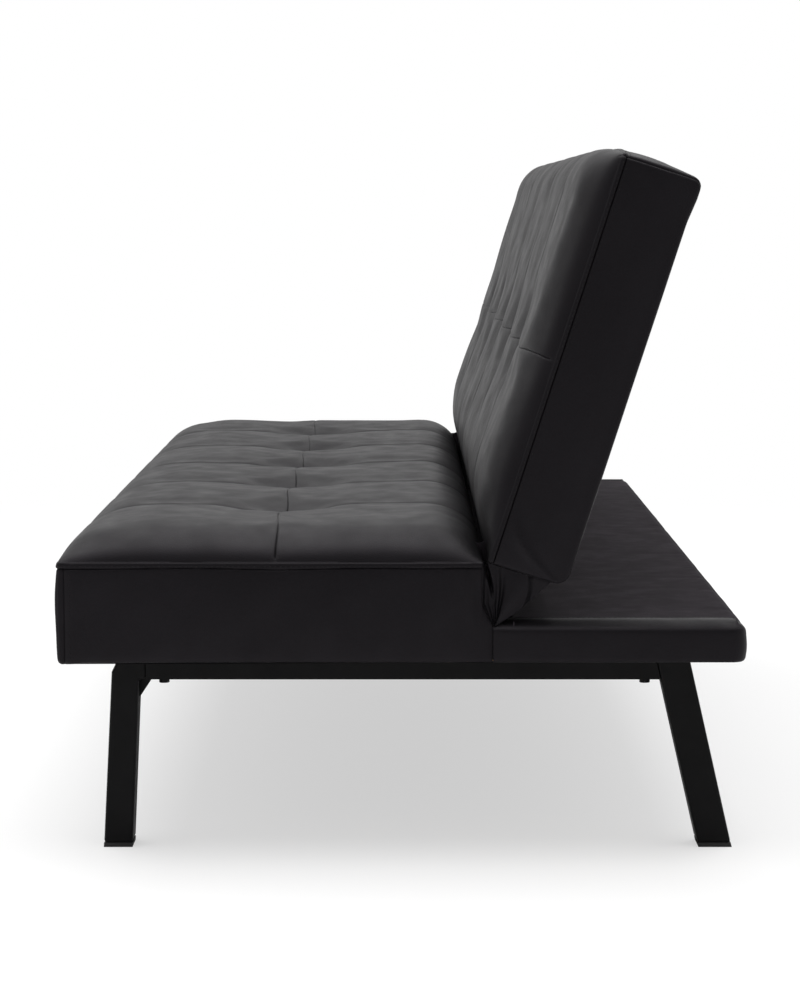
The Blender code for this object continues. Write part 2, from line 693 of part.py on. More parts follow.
def build_ledge(materials):
    cover = ledge_form("ledge_cover", 0.0, LEDGE_FRONT, materials["leather"])
    cut(cover, ledge_form("ledge_cavity", SKIN, LEDGE_FRONT - OVERRUN, None))
    rim_x = LEDGE_END - LEDGE_RIM
    rim_y = LEDGE_REAR - LEDGE_RIM
    hem = LEDGE_END - END_SEAM + SKIN + TURNED_UNDER
    front = LEDGE_FRONT - OVERRUN
    top = LEDGE_TOP + OVERRUN
    cut(cover, box("ledge_top_opening", (-rim_x, front, DECK_TOP), (rim_x, rim_y, top), None))
    cut(
        cover,
        box(
            "ledge_bottom_opening",
            (hem - LEDGE_END, front, BASE_UNDERSIDE - OVERRUN),
            (LEDGE_END - hem, LEDGE_REAR - hem, RAIL_BOTTOM + OVERRUN),
            None,
        ),
    )
    padding = ledge_form("ledge_padding", SKIN + GAP, LEDGE_FRONT, materials["foam"])
    below = (-HALF_LENGTH - OVERRUN, 0.0, 0.0)
    cut(padding, box("padding_below", below, (HALF_LENGTH + OVERRUN, DEPTH, DECK_TOP + GAP), None))
    ahead = (-HALF_LENGTH - OVERRUN, 0.0, BASE_UNDERSIDE)
    cut(padding, box("padding_ahead", ahead, (HALF_LENGTH + OVERRUN, DECK_FRONT, LEDGE_TOP), None))
    fabric_bottom = LEDGE_TOP - LEDGE_FABRIC_THICKNESS
    box(
        "ledge_top_fabric",
        (GAP - rim_x, DECK_FRONT, fabric_bottom),
        (rim_x - GAP, rim_y - GAP, LEDGE_TOP),
        materials["fabric"],
    )
    box(
        "ledge_deck",
        (-RAIL_END, DECK_FRONT, RAIL_TOP + GAP),
        (RAIL_END, RAIL_REAR, DECK_TOP),
        materials["timber"],
    )


def build_dust_cover(materials):
    x = LEG_INNER - DUST_COVER_INSET
    hem = SKIN + TURNED_UNDER + GAP
    rear = LEDGE_REAR - (LEDGE_END - END_SEAM) - hem
    box(
        "bottom_dust_cover",
        (-x, FRONT_SEAM + hem, RAIL_BOTTOM - GAP - DUST_COVER_THICKNESS),
        (x, rear, RAIL_BOTTOM - GAP),
        materials["fabric"],
    )


def sheared(outline_y, z_low, z_high, lean_out, x_low, x_high, name, material):
    """A post with level ends whose foot stands at outline_y on the floor and leans back by the slope."""
    rings = []
    for z in (z_low, z_high):
        low, high = (y + lean_out * z for y in outline_y)
        rings.append([(x_low, low, z), (x_high, low, z), (x_high, high, z), (x_low, high, z)])
    return loft(name, rings, material)


def front_leg_outline():
    slope = math.tan(FRONT_LEG_LEAN)
    front = FRONT_LEG_FOOT
    rear = FRONT_LEG_FOOT + FRONT_LEG_WIDTH
    foot = CAP_THICKNESS + GAP
    top_front = front + slope * LEG_TOP
    chamfer_y, chamfer_z = FRONT_CHAMFER
    stub_end = rear + slope * LEG_TOP + STUB_LENGTH
    return [
        (front + slope * foot, foot),
        (rear + slope * foot, foot),
        (rear + slope * CROSSBAR_BOTTOM, CROSSBAR_BOTTOM),
        (stub_end, CROSSBAR_BOTTOM),
        (stub_end, LEG_TOP),
        (top_front + chamfer_y, LEG_TOP),
        (top_front, LEG_TOP - chamfer_z),
    ]


def build_leg_frame(name, side, materials):
    metal = materials["black_metal"]
    x_low, x_high = span(side, LEG_INNER, LEG_OUTER)
    in_low, in_high = span(side, LEG_INNER + LEG_WALL, LEG_OUTER - LEG_WALL)
    foot = CAP_THICKNESS + GAP
    front_slope = math.tan(FRONT_LEG_LEAN)
    rear_slope = -math.tan(REAR_LEG_LEAN)

    front = plate(f"leg_front_{name}", front_leg_outline(), x_low, x_high, metal)
    bevel_edges(front, LEG_EDGE)
    post_y = (FRONT_LEG_FOOT + LEG_WALL, FRONT_LEG_FOOT + FRONT_LEG_WIDTH - LEG_WALL)
    bore_top = LEG_TOP - FRONT_CHAMFER[1] - LEG_WALL
    bore = sheared(
        post_y, foot - OVERRUN, bore_top, front_slope, in_low, in_high, f"leg_front_bore_{name}", None
    )
    cut(front, bore)
    corner_y = FRONT_LEG_FOOT + FRONT_LEG_WIDTH + front_slope * CROSSBAR_BOTTOM
    web = plate(
        f"leg_front_web_{name}",
        [
            (corner_y - LEG_WALL, CROSSBAR_BOTTOM + LEG_WALL),
            (corner_y - LEG_WALL, CROSSBAR_BOTTOM - WEB_SIZE[1]),
            (corner_y, CROSSBAR_BOTTOM - WEB_SIZE[1]),
            (corner_y + WEB_SIZE[0], CROSSBAR_BOTTOM - GAP),
            (corner_y + STUB_LENGTH, CROSSBAR_BOTTOM - GAP),
            (corner_y + STUB_LENGTH, CROSSBAR_BOTTOM + LEG_WALL),
        ],
        side * LEG_MIDDLE - WEB_THICKNESS / 2,
        side * LEG_MIDDLE + WEB_THICKNESS / 2,
        None,
    )
    join(front, web)

    rear_span = (REAR_LEG_FOOT - REAR_LEG_WIDTH, REAR_LEG_FOOT)
    rear = sheared(rear_span, foot, LEG_TOP, rear_slope, x_low, x_high, f"leg_rear_{name}", metal)
    bevel_edges(rear, LEG_EDGE)
    bore_span = (rear_span[0] + LEG_WALL, rear_span[1] - LEG_WALL)
    bore = sheared(
        bore_span,
        foot - OVERRUN,
        LEG_TOP - LEG_WALL,
        rear_slope,
        in_low,
        in_high,
        f"leg_rear_bore_{name}",
        None,
    )
    cut(rear, bore)

    for which, y_span, slope in (("front", post_y, front_slope), ("rear", bore_span, rear_slope)):
        build_foot_cap(f"foot_cap_{which}_{name}", y_span, slope, (x_low, x_high), materials["plastic"])

    build_crossbar(name, side, (x_low, x_high), (in_low, in_high), materials)


def build_foot_cap(name, bore_y, slope, x_span, material):
    outer = [
        (x, y + slope * z, z)
        for z in (0.0, CAP_THICKNESS)
        for x, y in (
            (x_span[0], bore_y[0] - LEG_WALL),
            (x_span[1], bore_y[0] - LEG_WALL),
            (x_span[1], bore_y[1] + LEG_WALL),
            (x_span[0], bore_y[1] + LEG_WALL),
        )
    ]
    play = LEG_WALL + GAP
    plug = [
        (x, y + slope * z, z)
        for z in (CAP_THICKNESS, CAP_THICKNESS + CAP_PLUG)
        for x, y in (
            (x_span[0] + play, bore_y[0] + GAP),
            (x_span[1] - play, bore_y[0] + GAP),
            (x_span[1] - play, bore_y[1] - GAP),
            (x_span[0] + play, bore_y[1] - GAP),
        )
    ]
    loft(name, [outer[:4], outer[4:], plug[:4], plug[4:]], material)


def build_crossbar(name, side, x_span, in_span, materials):
    front_slope = math.tan(FRONT_LEG_LEAN)
    rear_slope = -math.tan(REAR_LEG_LEAN)
    start = FRONT_LEG_FOOT + FRONT_LEG_WIDTH + front_slope * LEG_TOP + STUB_LENGTH + GAP
    rear_face = REAR_LEG_FOOT - REAR_LEG_WIDTH - 1.5 * GAP
    outline = [
        (start, CROSSBAR_BOTTOM),
        (rear_face + rear_slope * CROSSBAR_BOTTOM, CROSSBAR_BOTTOM),
        (rear_face + rear_slope * LEG_TOP, LEG_TOP),
        (start, LEG_TOP),
    ]
    bar = plate(f"leg_crossbar_{name}", outline, *x_span, materials["black_metal"])
    hollow = box(
        f"crossbar_hollow_{name}",
        (in_span[0], start - OVERRUN, CROSSBAR_BOTTOM + LEG_WALL),
        (in_span[1], rear_face + OVERRUN, LEG_TOP - LEG_WALL),
        None,
    )
    cut(bar, hollow)
    for i, y in enumerate(BOLT_PLACES):
        centre = (side * LEG_MIDDLE, y)
        hole_radius = BOLT_RADIUS + BOLT_PLAY
        profile = [(hole_radius, CROSSBAR_BOTTOM - OVERRUN), (hole_radius, LEG_TOP + OVERRUN)]
        cut(bar, turned(f"crossbar_hole_{name}_{i}", "Z", centre, profile, None))
        place = ("front", "rear")[i]
        head_top = CROSSBAR_BOTTOM - GAP
        profile = [
            (BOLT_HEAD_RADIUS, head_top - BOLT_HEAD_HEIGHT),
            (BOLT_HEAD_RADIUS, head_top),
            (BOLT_RADIUS, head_top),
            (BOLT_RADIUS, RAIL_BOTTOM + BOLT_REACH),
        ]
        turned(f"crossbar_bolt_{place}_{name}", "Z", centre, profile, materials["steel"])


def build_fixed_arm(name, side, materials):
    """The stamped plate on the end rail that carries the pivot, with the pawl's stud."""
    low = RAIL_BOTTOM + SKIN
    high = low + FLANGE_HEIGHT
    eye = circle(PIVOT, EYE_RADIUS, math.radians(-60), math.radians(160))
    outline = [
        (NECK_FRONT, low),
        (NECK_FRONT + FLANGE_LENGTH, low),
        (NECK_FRONT + FLANGE_LENGTH, high),
        (NECK_REAR, high),
        (NECK_REAR, PIVOT[1] - 2 * EYE_RADIUS),
        *eye,
        (NECK_FRONT, PIVOT[1] - EYE_RADIUS),
    ]
    x_span = span(side, FIXED_PLATE_INNER, FIXED_PLATE_OUTER)
    arm = plate(f"hinge_fixed_arm_{name}", outline, *x_span, materials["steel"])
    hole = span(side, FIXED_PLATE_INNER - OVERRUN, FIXED_PLATE_OUTER + OVERRUN)
    radius = PIN_RADIUS + PIN_PLAY
    cut(arm, turned(f"fixed_arm_eye_{name}", "X", PIVOT, [(radius, hole[0]), (radius, hole[1])], None))
    stud = span(side, MOVING_PLATE_INNER - PIN_PLAY, FIXED_PLATE_OUTER - PLATE / 2)
    profile = [(PAWL_PIN_RADIUS, stud[0]), (PAWL_PIN_RADIUS, stud[1])]
    join(arm, turned(f"pawl_stud_{name}", "X", pawl_pivot(), profile, None))


def pawl_tip():
    reach = SECTOR_TIP_RADIUS + PAWL_PLAY + PAWL_TIP_RADIUS
    return (PIVOT[0] + reach * math.cos(PAWL_ANGLE), PIVOT[1] + reach * math.sin(PAWL_ANGLE))


def pawl_pivot():
    tip = pawl_tip()
    y = (NECK_FRONT + NECK_REAR) / 2
    return (y, tip[1] - math.sqrt(PAWL_LENGTH**2 - (tip[0] - y) ** 2))


def build_pivot_pin(name, side, materials):
    inner = MOVING_PLATE_INNER - GAP
    outer = FIXED_PLATE_OUTER + GAP
    profile = [
        (PIN_HEAD_RADIUS, inner - PIN_HEAD_HEIGHT),
        (PIN_HEAD_RADIUS, inner),
        (PIN_RADIUS, inner),
        (PIN_RADIUS, outer),
        (PIN_HEAD_RADIUS, outer),
        (PIN_HEAD_RADIUS, outer + PIN_HEAD_HEIGHT),
    ]
    profile = [(radius, side * x) for radius, x in profile]
    turned(f"hinge_pivot_pin_{name}", "X", PIVOT, profile, materials["steel"])


def build_pawl(name, side, materials):
    """The sprung pawl under the tooth sector, clear of the tooth tips, and its spring."""
    x_span = span(side, MOVING_PLATE_INNER, MOVING_PLATE_OUTER)
    outline = capsule(pawl_pivot(), PAWL_EYE_RADIUS, pawl_tip(), PAWL_TIP_RADIUS)
    pawl = plate(f"pawl_{name}", outline, *x_span, materials["steel"])
    hole = span(side, MOVING_PLATE_INNER - OVERRUN, MOVING_PLATE_OUTER + OVERRUN)
    radius = PAWL_PIN_RADIUS + PIN_PLAY
    profile = [(radius, hole[0]), (radius, hole[1])]
    cut(pawl, turned(f"pawl_eye_{name}", "X", pawl_pivot(), profile, None))
    centre = pawl_pivot()
    middle = side * (MOVING_PLATE_INNER + MOVING_PLATE_OUTER) / 2
    top = centre[1] - PAWL_EYE_RADIUS - GAP
    profile = [(PAWL_SPRING_RADIUS, top - PAWL_SPRING_DROP), (PAWL_SPRING_RADIUS, top)]
    turned(f"pawl_spring_{name}", "Z", (middle, centre[0]), profile, materials["steel"])


def build_gusset(name, side, materials):
    """The pleated fan that closes the corner between seat, ledge and backrest at one end."""
    rows = 3
    foot = BACK_FOOT
    lean = (math.cos(BACK_LEAN), -math.sin(BACK_LEAN))
    drop = GUSSET_GAP / math.cos(BACK_LEAN)
    face = END_SEAM - GUSSET_INSET
    outer = []
    inner = []
    for i in range(GUSSET_COLUMNS + 1):
        share = i / GUSSET_COLUMNS
        along = GUSSET_REACH * share
        top = (foot[0] + lean[0] * along, foot[1] + lean[1] * along - drop)
        top = (max(top[0], SEAT_REAR + GUSSET_GAP), top[1])
        apex = (SEAT_FOOT_REAR + GUSSET_GAP, LEDGE_TOP + GUSSET_GAP)
        tip = (foot[0] + lean[0] * GUSSET_REACH, foot[1] + lean[1] * GUSSET_REACH - drop - GUSSET_TIP_DROP)
        low = (apex[0] + (tip[0] - apex[0]) * share, apex[1] + (tip[1] - apex[1]) * share)
        waist_y = SEAT_REAR + GUSSET_GAP + (low[0] - SEAT_FOOT_REAR) * GUSSET_WAIST_SHARE
        waist = (waist_y, max(FLARE_TOP, (top[1] + low[1]) / 2))
        pleat = GUSSET_PLEAT * (1 - share) * (1 if i % 2 else -1) / 2
        for j, (y, z) in enumerate((low, waist, top)):
            x = face - GUSSET_PLEAT / 2 + pleat
            outer.append((side * x, y, z))
            inner.append((side * (x - GUSSET_THICKNESS), y, z))
    count = len(outer)
    faces = []
    for i in range(GUSSET_COLUMNS):
        for j in range(rows - 1):
            quad = (i * rows + j, (i + 1) * rows + j, (i + 1) * rows + j + 1, i * rows + j + 1)
            faces.append(quad)
            faces.append(tuple(count + k for k in reversed(quad)))
    rim = [i * rows + j for i, j in rim_indices(GUSSET_COLUMNS + 1, rows)]
    for k, a in enumerate(rim):
        b = rim[(k + 1) % len(rim)]
        faces.append((a, b, count + b, count + a))
    finish(f"end_gusset_{name}", mesh_of("gusset", outer + inner, faces), materials["leather"])


def back_frame():
    """The empty on the hinge axis, and where the backrest's pieces start from it."""
    hinge = bpy.data.objects.new("backrest_hinge", None)
    hinge.location = (0.0, *PIVOT)
    hinge.rotation_euler = (RECLINE, 0.0, 0.0)
    bpy.context.scene.collection.objects.link(hinge)
    return (hinge, (0.0, -PIVOT_RISE, -PIVOT_HEIGHT))


def back_rings():
    """Side rings of the backrest's cover, from its front seam down to the rear plane."""
    y_span = (0.0, BACK_LENGTH)
    foot = BACK_FOOT_RADIUS
    head = BACK_HEAD_RADIUS
    end = BACK_END_ROUND
    slant = 1 - math.sqrt(0.5)
    swells = []
    for share in BACK_BULGE_SHARES:
        amounts = (END_BULGE * share, 0.0, BACK_TOP_BULGE * share)
        swells.append(side_bulge(amounts, END_SEAM, y_span, BACK_TOP_TAPER))
    drawn = draw_in(end * slant, foot * slant, head * slant)
    levels = [BACK_THICKNESS * share for share in BACK_RING_SHARES] + [foot]
    rounded = [(foot * slant, both_offsets(swells[-1], drawn)), (0.0, draw_in(end, foot, head))]
    return [*zip(levels, swells), *rounded]


def build_backrest(materials, frame):
    x_span = (-END_SEAM, END_SEAM)
    y_span = (0.0, BACK_LENGTH)
    leather = materials["leather"]
    cover = build_cover(
        "backrest_cover",
        x_span,
        y_span,
        BACK_THICKNESS,
        BACK_SHAPE,
        back_rings(),
        leather,
        frame,
    )
    drawn = draw_in(BACK_END_ROUND, BACK_FOOT_RADIUS, BACK_HEAD_RADIUS)
    core = build_core(
        "backrest_cavity",
        x_span,
        y_span,
        SKIN,
        BACK_THICKNESS,
        BACK_SHAPE,
        QUILT_THICKNESS,
        [(BACK_FOOT_RADIUS, straight), (SKIN, drawn)],
        None,
        frame,
    )
    cut(cover, core)
    hem = REAR_HEM
    cut(
        cover,
        box(
            "backrest_rear_opening",
            (hem - END_SEAM, hem, -OVERRUN),
            (END_SEAM - hem, BACK_LENGTH - hem, SKIN + OVERRUN),
            None,
            frame,
        ),
    )
    box(
        "backrest_rear_panel",
        (hem + GAP - END_SEAM, hem + GAP, SKIN - REAR_PANEL_THICKNESS),
        (END_SEAM - hem - GAP, BACK_LENGTH - hem - GAP, SKIN),
        materials["fabric"],
        frame,
    )
    rail_low = SKIN + GAP
    rail_high = rail_low + BACK_RAIL_THICKNESS
    spring_top = rail_high + GAP + SPRING_WIRE
    foam = build_core(
        "backrest_foam",
        x_span,
        y_span,
        SKIN + GAP,
        BACK_THICKNESS,
        BACK_SHAPE,
        QUILT_THICKNESS + GAP,
        [(spring_top + GAP, straight)],
        materials["foam"],
        frame,
    )
    for name, side in both_ends():
        slot = span(side, MOVING_PLATE_INNER - SLOT_PLAY, FIXED_PLATE_OUTER + SLOT_PLAY)
        low = PIVOT_HEIGHT - SLOT_RADIUS
        high = PIVOT_HEIGHT + SLOT_RADIUS
        cut(
            cover,
            box(
                f"cover_slot_{name}",
                (slot[0], -OVERRUN, low),
                (slot[1], SKIN + OVERRUN, high),
                None,
                frame,
            ),
        )
        top = PIVOT_RISE + STRAP_REACH + 2 * STRAP_END_RADIUS
        cut(
            foam,
            box(f"foam_slot_{name}", (slot[0], -OVERRUN, 0.0), (slot[1], top, high), None, frame),
        )
    build_back_rails(materials["timber"], frame, rail_low, rail_high)
    start = BACK_FOOT_RADIUS + BACK_RAIL_WIDTH / 2
    end = BACK_LENGTH - BACK_HEAD_RADIUS - BACK_RAIL_WIDTH / 2
    height = rail_high + GAP + SPRING_WIRE / 2
    for i in range(BACK_SPRINGS):
        x = SPRING_SPAN * (i / (BACK_SPRINGS - 1) - 0.5)
        sinuous(f"backrest_spring_{i + 1}", start, end, x, height, materials["steel"], frame)


def build_back_rails(timber, frame, low, high):
    foot = BACK_FOOT_RADIUS + SKIN + GAP
    head = BACK_LENGTH - BACK_HEAD_RADIUS - SKIN - GAP
    side_inner = BACK_SIDE_RAIL_OUTER - BACK_SIDE_RAIL_WIDTH
    across = side_inner - GAP
    for name, side in both_ends():
        x_low, x_high = span(side, side_inner, BACK_SIDE_RAIL_OUTER)
        box(f"backrest_side_rail_{name}", (x_low, foot, low), (x_high, head, high), timber, frame)
    inner_foot = foot + BACK_RAIL_WIDTH
    inner_head = head - BACK_RAIL_WIDTH
    box("backrest_bottom_rail", (-across, foot, low), (across, inner_foot, high), timber, frame)
    box("backrest_top_rail", (-across, inner_head, low), (across, head, high), timber, frame)
    half = BACK_POST_WIDTH / 2
    box(
        "backrest_middle_rail",
        (-half, inner_foot + GAP, low),
        (half, inner_head - GAP, high),
        timber,
        frame,
    )


def build_moving_arm(name, side, materials, frame):
    """The strap on the backrest's side rail that turns on the pivot, with the tooth sector of the lock."""
    eye = (PIVOT_RISE, PIVOT_HEIGHT)
    end = (PIVOT_RISE + STRAP_REACH, SKIN + GAP + BACK_RAIL_THICKNESS / 2)
    x_span = span(side, MOVING_PLATE_INNER, MOVING_PLATE_OUTER)
    outline = capsule(eye, EYE_RADIUS, end, STRAP_END_RADIUS)
    arm = plate(f"hinge_moving_arm_{name}", outline, *x_span, materials["steel"], frame)
    step = (SECTOR_TO - SECTOR_FROM) / SECTOR_TEETH
    turns = []
    for i in range(SECTOR_TEETH):
        start = SECTOR_FROM + step * i - RECLINE
        turns.append((start, SECTOR_ROOT_RADIUS))
        turns.extend((start + step * share, SECTOR_TIP_RADIUS) for share in TOOTH_TIP_SHARES)
    turns.append((SECTOR_TO - RECLINE, SECTOR_ROOT_RADIUS))
    teeth = [(eye[0] + radius * math.cos(a), eye[1] + radius * math.sin(a)) for a, radius in turns]
    teeth.append(eye)
    join(arm, plate(f"tooth_sector_{name}", teeth, *x_span, None, frame))
    hole = span(side, MOVING_PLATE_INNER - OVERRUN, MOVING_PLATE_OUTER + OVERRUN)
    radius = PIN_RADIUS + PIN_PLAY
    profile = [(radius, hole[0]), (radius, hole[1])]
    cut(arm, turned(f"moving_arm_eye_{name}", "X", eye, profile, None, frame))


def main():
    clear_scene()
    materials = make_materials()
    build_rails(materials)
    build_seat(materials)
    build_seat_springs(materials)
    build_ledge(materials)
    build_dust_cover(materials)
    frame = back_frame()
    build_backrest(materials, frame)
    for name, side in both_ends():
        build_leg_frame(name, side, materials)
        build_fixed_arm(name, side, materials)
        build_pivot_pin(name, side, materials)
        build_pawl(name, side, materials)
        build_gusset(name, side, materials)
        build_moving_arm(name, side, materials, frame)


if __name__ == "__main__":
    main()
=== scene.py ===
"""Visual model of an armless click-clack sofa bed, built on the frame of its CAD model.

Metres, +Z up. X runs along the sofa and the front is -Y. The seat, backrest, ledge and end gussets are
surfaces given by formulas on grids. The rails, springs, hinges and leg frames are the CAD model's own.
"""

import math
from typing import NamedTuple

import bmesh
import bpy
import numpy as np
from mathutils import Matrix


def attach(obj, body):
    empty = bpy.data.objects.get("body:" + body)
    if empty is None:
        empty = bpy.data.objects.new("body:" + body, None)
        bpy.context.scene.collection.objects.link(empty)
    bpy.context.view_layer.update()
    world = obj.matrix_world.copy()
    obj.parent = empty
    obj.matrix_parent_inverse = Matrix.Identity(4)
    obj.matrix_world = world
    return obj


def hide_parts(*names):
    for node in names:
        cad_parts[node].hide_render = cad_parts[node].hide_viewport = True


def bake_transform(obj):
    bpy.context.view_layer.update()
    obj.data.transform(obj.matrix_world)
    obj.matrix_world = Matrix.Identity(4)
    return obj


bl_info = {
    "name": "Armless Sofa Bed",
    "version": (1, 0, 0),
    "blender": (4, 5, 0),
    "location": "View3D > Sidebar > Sofa Bed",
    "description": "Builds the cushions, coverings, stitching and materials of an armless sofa bed",
    "category": "Object",
}

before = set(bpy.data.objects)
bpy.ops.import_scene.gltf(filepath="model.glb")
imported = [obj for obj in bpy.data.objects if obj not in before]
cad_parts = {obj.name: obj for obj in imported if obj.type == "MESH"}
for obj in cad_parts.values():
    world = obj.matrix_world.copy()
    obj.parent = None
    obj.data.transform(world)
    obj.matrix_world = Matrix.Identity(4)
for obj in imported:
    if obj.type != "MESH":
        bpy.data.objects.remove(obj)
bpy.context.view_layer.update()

# Places and sizes of the CAD model
END_SEAM = 0.836  # the end seams of seat and backrest, from the middle
LENGTH = 2.0 * END_SEAM
UNDERSIDE = 0.237
SKIN = 0.0015  # thickness of a covering at its sides
HEM = 0.026  # width of a covering turned under the base
PANEL_COLUMNS = 6

SEAM_HEIGHT = 0.3520  # of the seat's top seam
SEAT_SIDE = SEAM_HEIGHT - UNDERSIDE
FRONT_SEAM = -0.390
SEAT_REAR = 0.0945
SEAT_WIDTH = SEAT_REAR - FRONT_SEAM
SEAT_FLARE = 0.0115  # the end panels reach farther back at their foot
FLARE_TOP = 0.305
FLARE_FROM = 0.277
FOAM_BOTTOM = 0.2726
FOAM_REAR = 0.130

BACK_LENGTH = 0.482
BACK_THICKNESS = 0.0935
BACK_FOAM_BOTTOM = 0.0336
BACK_HEM = 0.024
BACK_FOOT = (0.1000, 0.3520)  # Y and Z of the front seam's foot
BACK_LEAN = math.radians(17.9)  # from vertical
PIVOT = (0.130392, 0.3485)  # Y and Z of the hinge
PIVOT_RISE = 0.006  # above the backrest's bottom face
PIVOT_HEIGHT = 0.0635  # above its rear plane
FOOT_RADIUS = 0.012
HEAD_RADIUS = 0.010
SLOT_X = (0.7903, 0.8029)  # of the slots for the hinge arms
SLOT_RADIUS = 0.026
SLOT_TOP = 0.123

LEDGE_END = 0.839
LEDGE_FRONT = 0.1063
LEDGE_REAR = 0.395
LEDGE_TOP = 0.284
LEDGE_RIM = 0.0385  # width of the leather rim
RIM_X = LEDGE_END - LEDGE_RIM
LEDGE_CORNER = 0.016
DECK_FRONT = 0.130392
DECK_TOP = 0.2751
DUST_X = 0.690
DUST_Y = (-0.3622, 0.3642)
DUST_TOP = 0.2385
GUSSET_FACE = 0.830

# Sizes of the visual model
EDGE_REACH = 0.110  # a side's bulge grows over this distance from its corners
THREAD_LIFT = 0.0001  # of the stitches above their leather
BACK_FOOT_ROUND = 0.0165  # radius of the backrest's lower rear edge
LEDGE_TOP_RADIUS = 0.012
SEWN_INSET = 0.0325  # from the ledge's outer edge to its stitching
CLOTH_SINK = 0.0022  # the leather and the pad lie lower by this under the rear cloth
REAR_CLOTH_START = LEDGE_REAR - 0.0142  # where that cloth starts to turn down

# Depths below a seam as shares of the side's height, and the share of the full bulge at each
SEAT_BULGE = (
    (0.0, 0.05, 0.13, 0.28, 0.45, 0.65, 0.82, 0.93, 1.0),
    (0.0, 0.3, 0.62, 0.9, 1.0, 0.95, 0.8, 0.55, 0.2),
)
BACK_BULGE = (
    (0.0, 0.08, 0.26, 0.45, 0.58, 0.75, 0.88, 1.0),
    (0.0, 0.42, 0.78, 0.97, 1.0, 0.72, 0.35, 0.15),
)

# The raised strip under a seam: its rise and width, and the depth, place and width of the crease after it
SEAT_STRIP = (0.0013, 0.0068, 0.00104, 0.0074, 0.0007)
BACK_STRIP = (0.0014, 0.0056, 0.0011, 0.0061, 0.0006)

# Quilting: depth and reach of the dip along each seam, and of the groove's slopes and bottom, as shares
CROSS_DIP = (0.0052, 0.038)
LONG_DIP = (0.0050, 0.062)
CROSS_GROOVE = (1.15, 0.0046, 0.90, 0.0009)
LONG_GROOVE = (0.42, 0.0026, 0.24, 0.0008)

# The end gussets' folds: height, place round the fan, how far they lean rearwards, its power, and width
GUSSET_FOLDS = (
    (0.0068, 0.0, 0.0, 1.0, 0.045),
    (0.0016, 0.06, 0.25, 1.0, 0.060),
    (0.0030, 0.225, 0.30, 1.2, 0.045),
    (-0.0026, 0.305, 0.30, 1.2, 0.050),
    (0.0024, 0.60, 0.0, 1.0, 0.17),
)

# The cloth simulation that swells the panels
SETTLING_FRAMES = 20
MOST_BILLOW = 0.0040
CLOTH_VALUES = {
    "quality": 6,
    "mass": 0.35,
    "tension_stiffness": 18.0,
    "compression_stiffness": 18.0,
    "shear_stiffness": 8.0,
    "bending_stiffness": 4.0,
    "vertex_group_mass": "pins",
    "pin_stiffness": 1.0,
    "shrink_min": -0.004,
    "use_pressure": True,
    "uniform_pressure_force": 3.0,
}

# The camera that the photograph's perspective gives
CAMERA_PLACE = (3.96, 0.0, 0.7558)
CAMERA_PITCH = 6.07  # degrees below the horizon
FOCAL_LENGTH = 2.7706  # as a multiple of the picture's height
SENSOR_HEIGHT = 36.0


def length_setting(name, description, default, low, high):
    return bpy.props.FloatProperty(
        name=name, description=description, default=default, min=low, max=high, unit="LENGTH"
    )


def colour_setting(name, description, default):
    return bpy.props.FloatVectorProperty(
        name=name, description=description, default=default, min=0.0, max=1.0, subtype="COLOR"
    )


class SofaSettings(bpy.types.PropertyGroup):
    """Sizes and colours that can be changed before a rebuild."""

    crown: length_setting(
        "Seat crown", "Height of the seat's panels above their edge seam", 0.0455, 0.030, 0.055
    )
    back_crown: length_setting(
        "Backrest crown", "Height of the backrest's panels above their edge seam", 0.042, 0.030, 0.050
    )
    tuft_depth: length_setting(
        "Tuft depth", "How much deeper the tufts lie than the seams", 0.0130, 0.0, 0.018
    )
    groove: length_setting(
        "Seam groove", "Depth of the narrow groove along each sewn seam", 0.0029, 0.0, 0.006
    )
    stitch_pitch: length_setting(
        "Stitch pitch", "Distance from one stitch to the next", 0.0060, 0.003, 0.012
    )
    leather_colour: colour_setting("Leather", "Colour of the faux leather", (0.0028, 0.0025, 0.0031))
    cloth_colour: colour_setting("Cloth", "Colour of the ledge's matte cloth", (0.0275, 0.0238, 0.0277))
    metal_colour: colour_setting("Legs", "Colour of the leg frames' coating", (0.0023, 0.0022, 0.0025))
    timber_colour: colour_setting("Timber", "Colour of the frame's wood", (0.42, 0.27, 0.14))


def settings():
    """The panel's current values."""
    return bpy.context.scene.sofa_bed


# Formulas


def unit(value):
    """The value, kept between 0 and 1."""
    return np.clip(value, 0.0, 1.0)


def points_of(*parts):
    """Points, one after the other along the last axis, from their coordinates or from plain numbers."""
    return np.stack(np.broadcast_arrays(*parts), axis=-1)


def grid_of(x, y):
    """The places of a grid over the lines x and y, column by column."""
    return np.meshgrid(x, y, indexing="ij")


def shares(values):
    """How far each value lies from the lowest to the highest of them, from 0 to 1."""
    return (values - values.min()) / (values.max() - values.min())


def dome(gx, gy):
    """sin(pi u) * sin(pi v), where u and v run from 0 to 1 over the grid."""
    return np.sin(math.pi * shares(gx)) * np.sin(math.pi * shares(gy))


def edge_rise(distance, reach, power=0.5):
    """0 at an edge and 1 from the reach inwards: (1 - (1 - distance / reach)^2)^power."""
    near = np.clip(np.asarray(distance) / reach, 0.0, 1.0)
    return (1.0 - (1.0 - near) ** 2) ** power


def edge_slope(distance, lip=0.27, reach=0.057):
    """0 at an edge and 1 far from it: a short steep lip, then an even slope that levels out.

    lip * (1 - exp(-distance / 4.5 mm)) + (1 - lip) * d / (1 + d^4)^(1/4), where d = distance / reach.
    """
    d = np.maximum(np.asarray(distance), 0.0) / reach
    return lip * (1.0 - np.exp(-d * reach / 0.0045)) + (1.0 - lip) * d / (1.0 + d**4) ** 0.25


def turn_in(left, radius):
    """How far a quarter circle of that radius has turned in, at a distance left before its far end."""
    into = min(max(1.0 - left / radius, 0.0), 1.0)
    return radius * (1.0 - math.sqrt(1.0 - into**2))


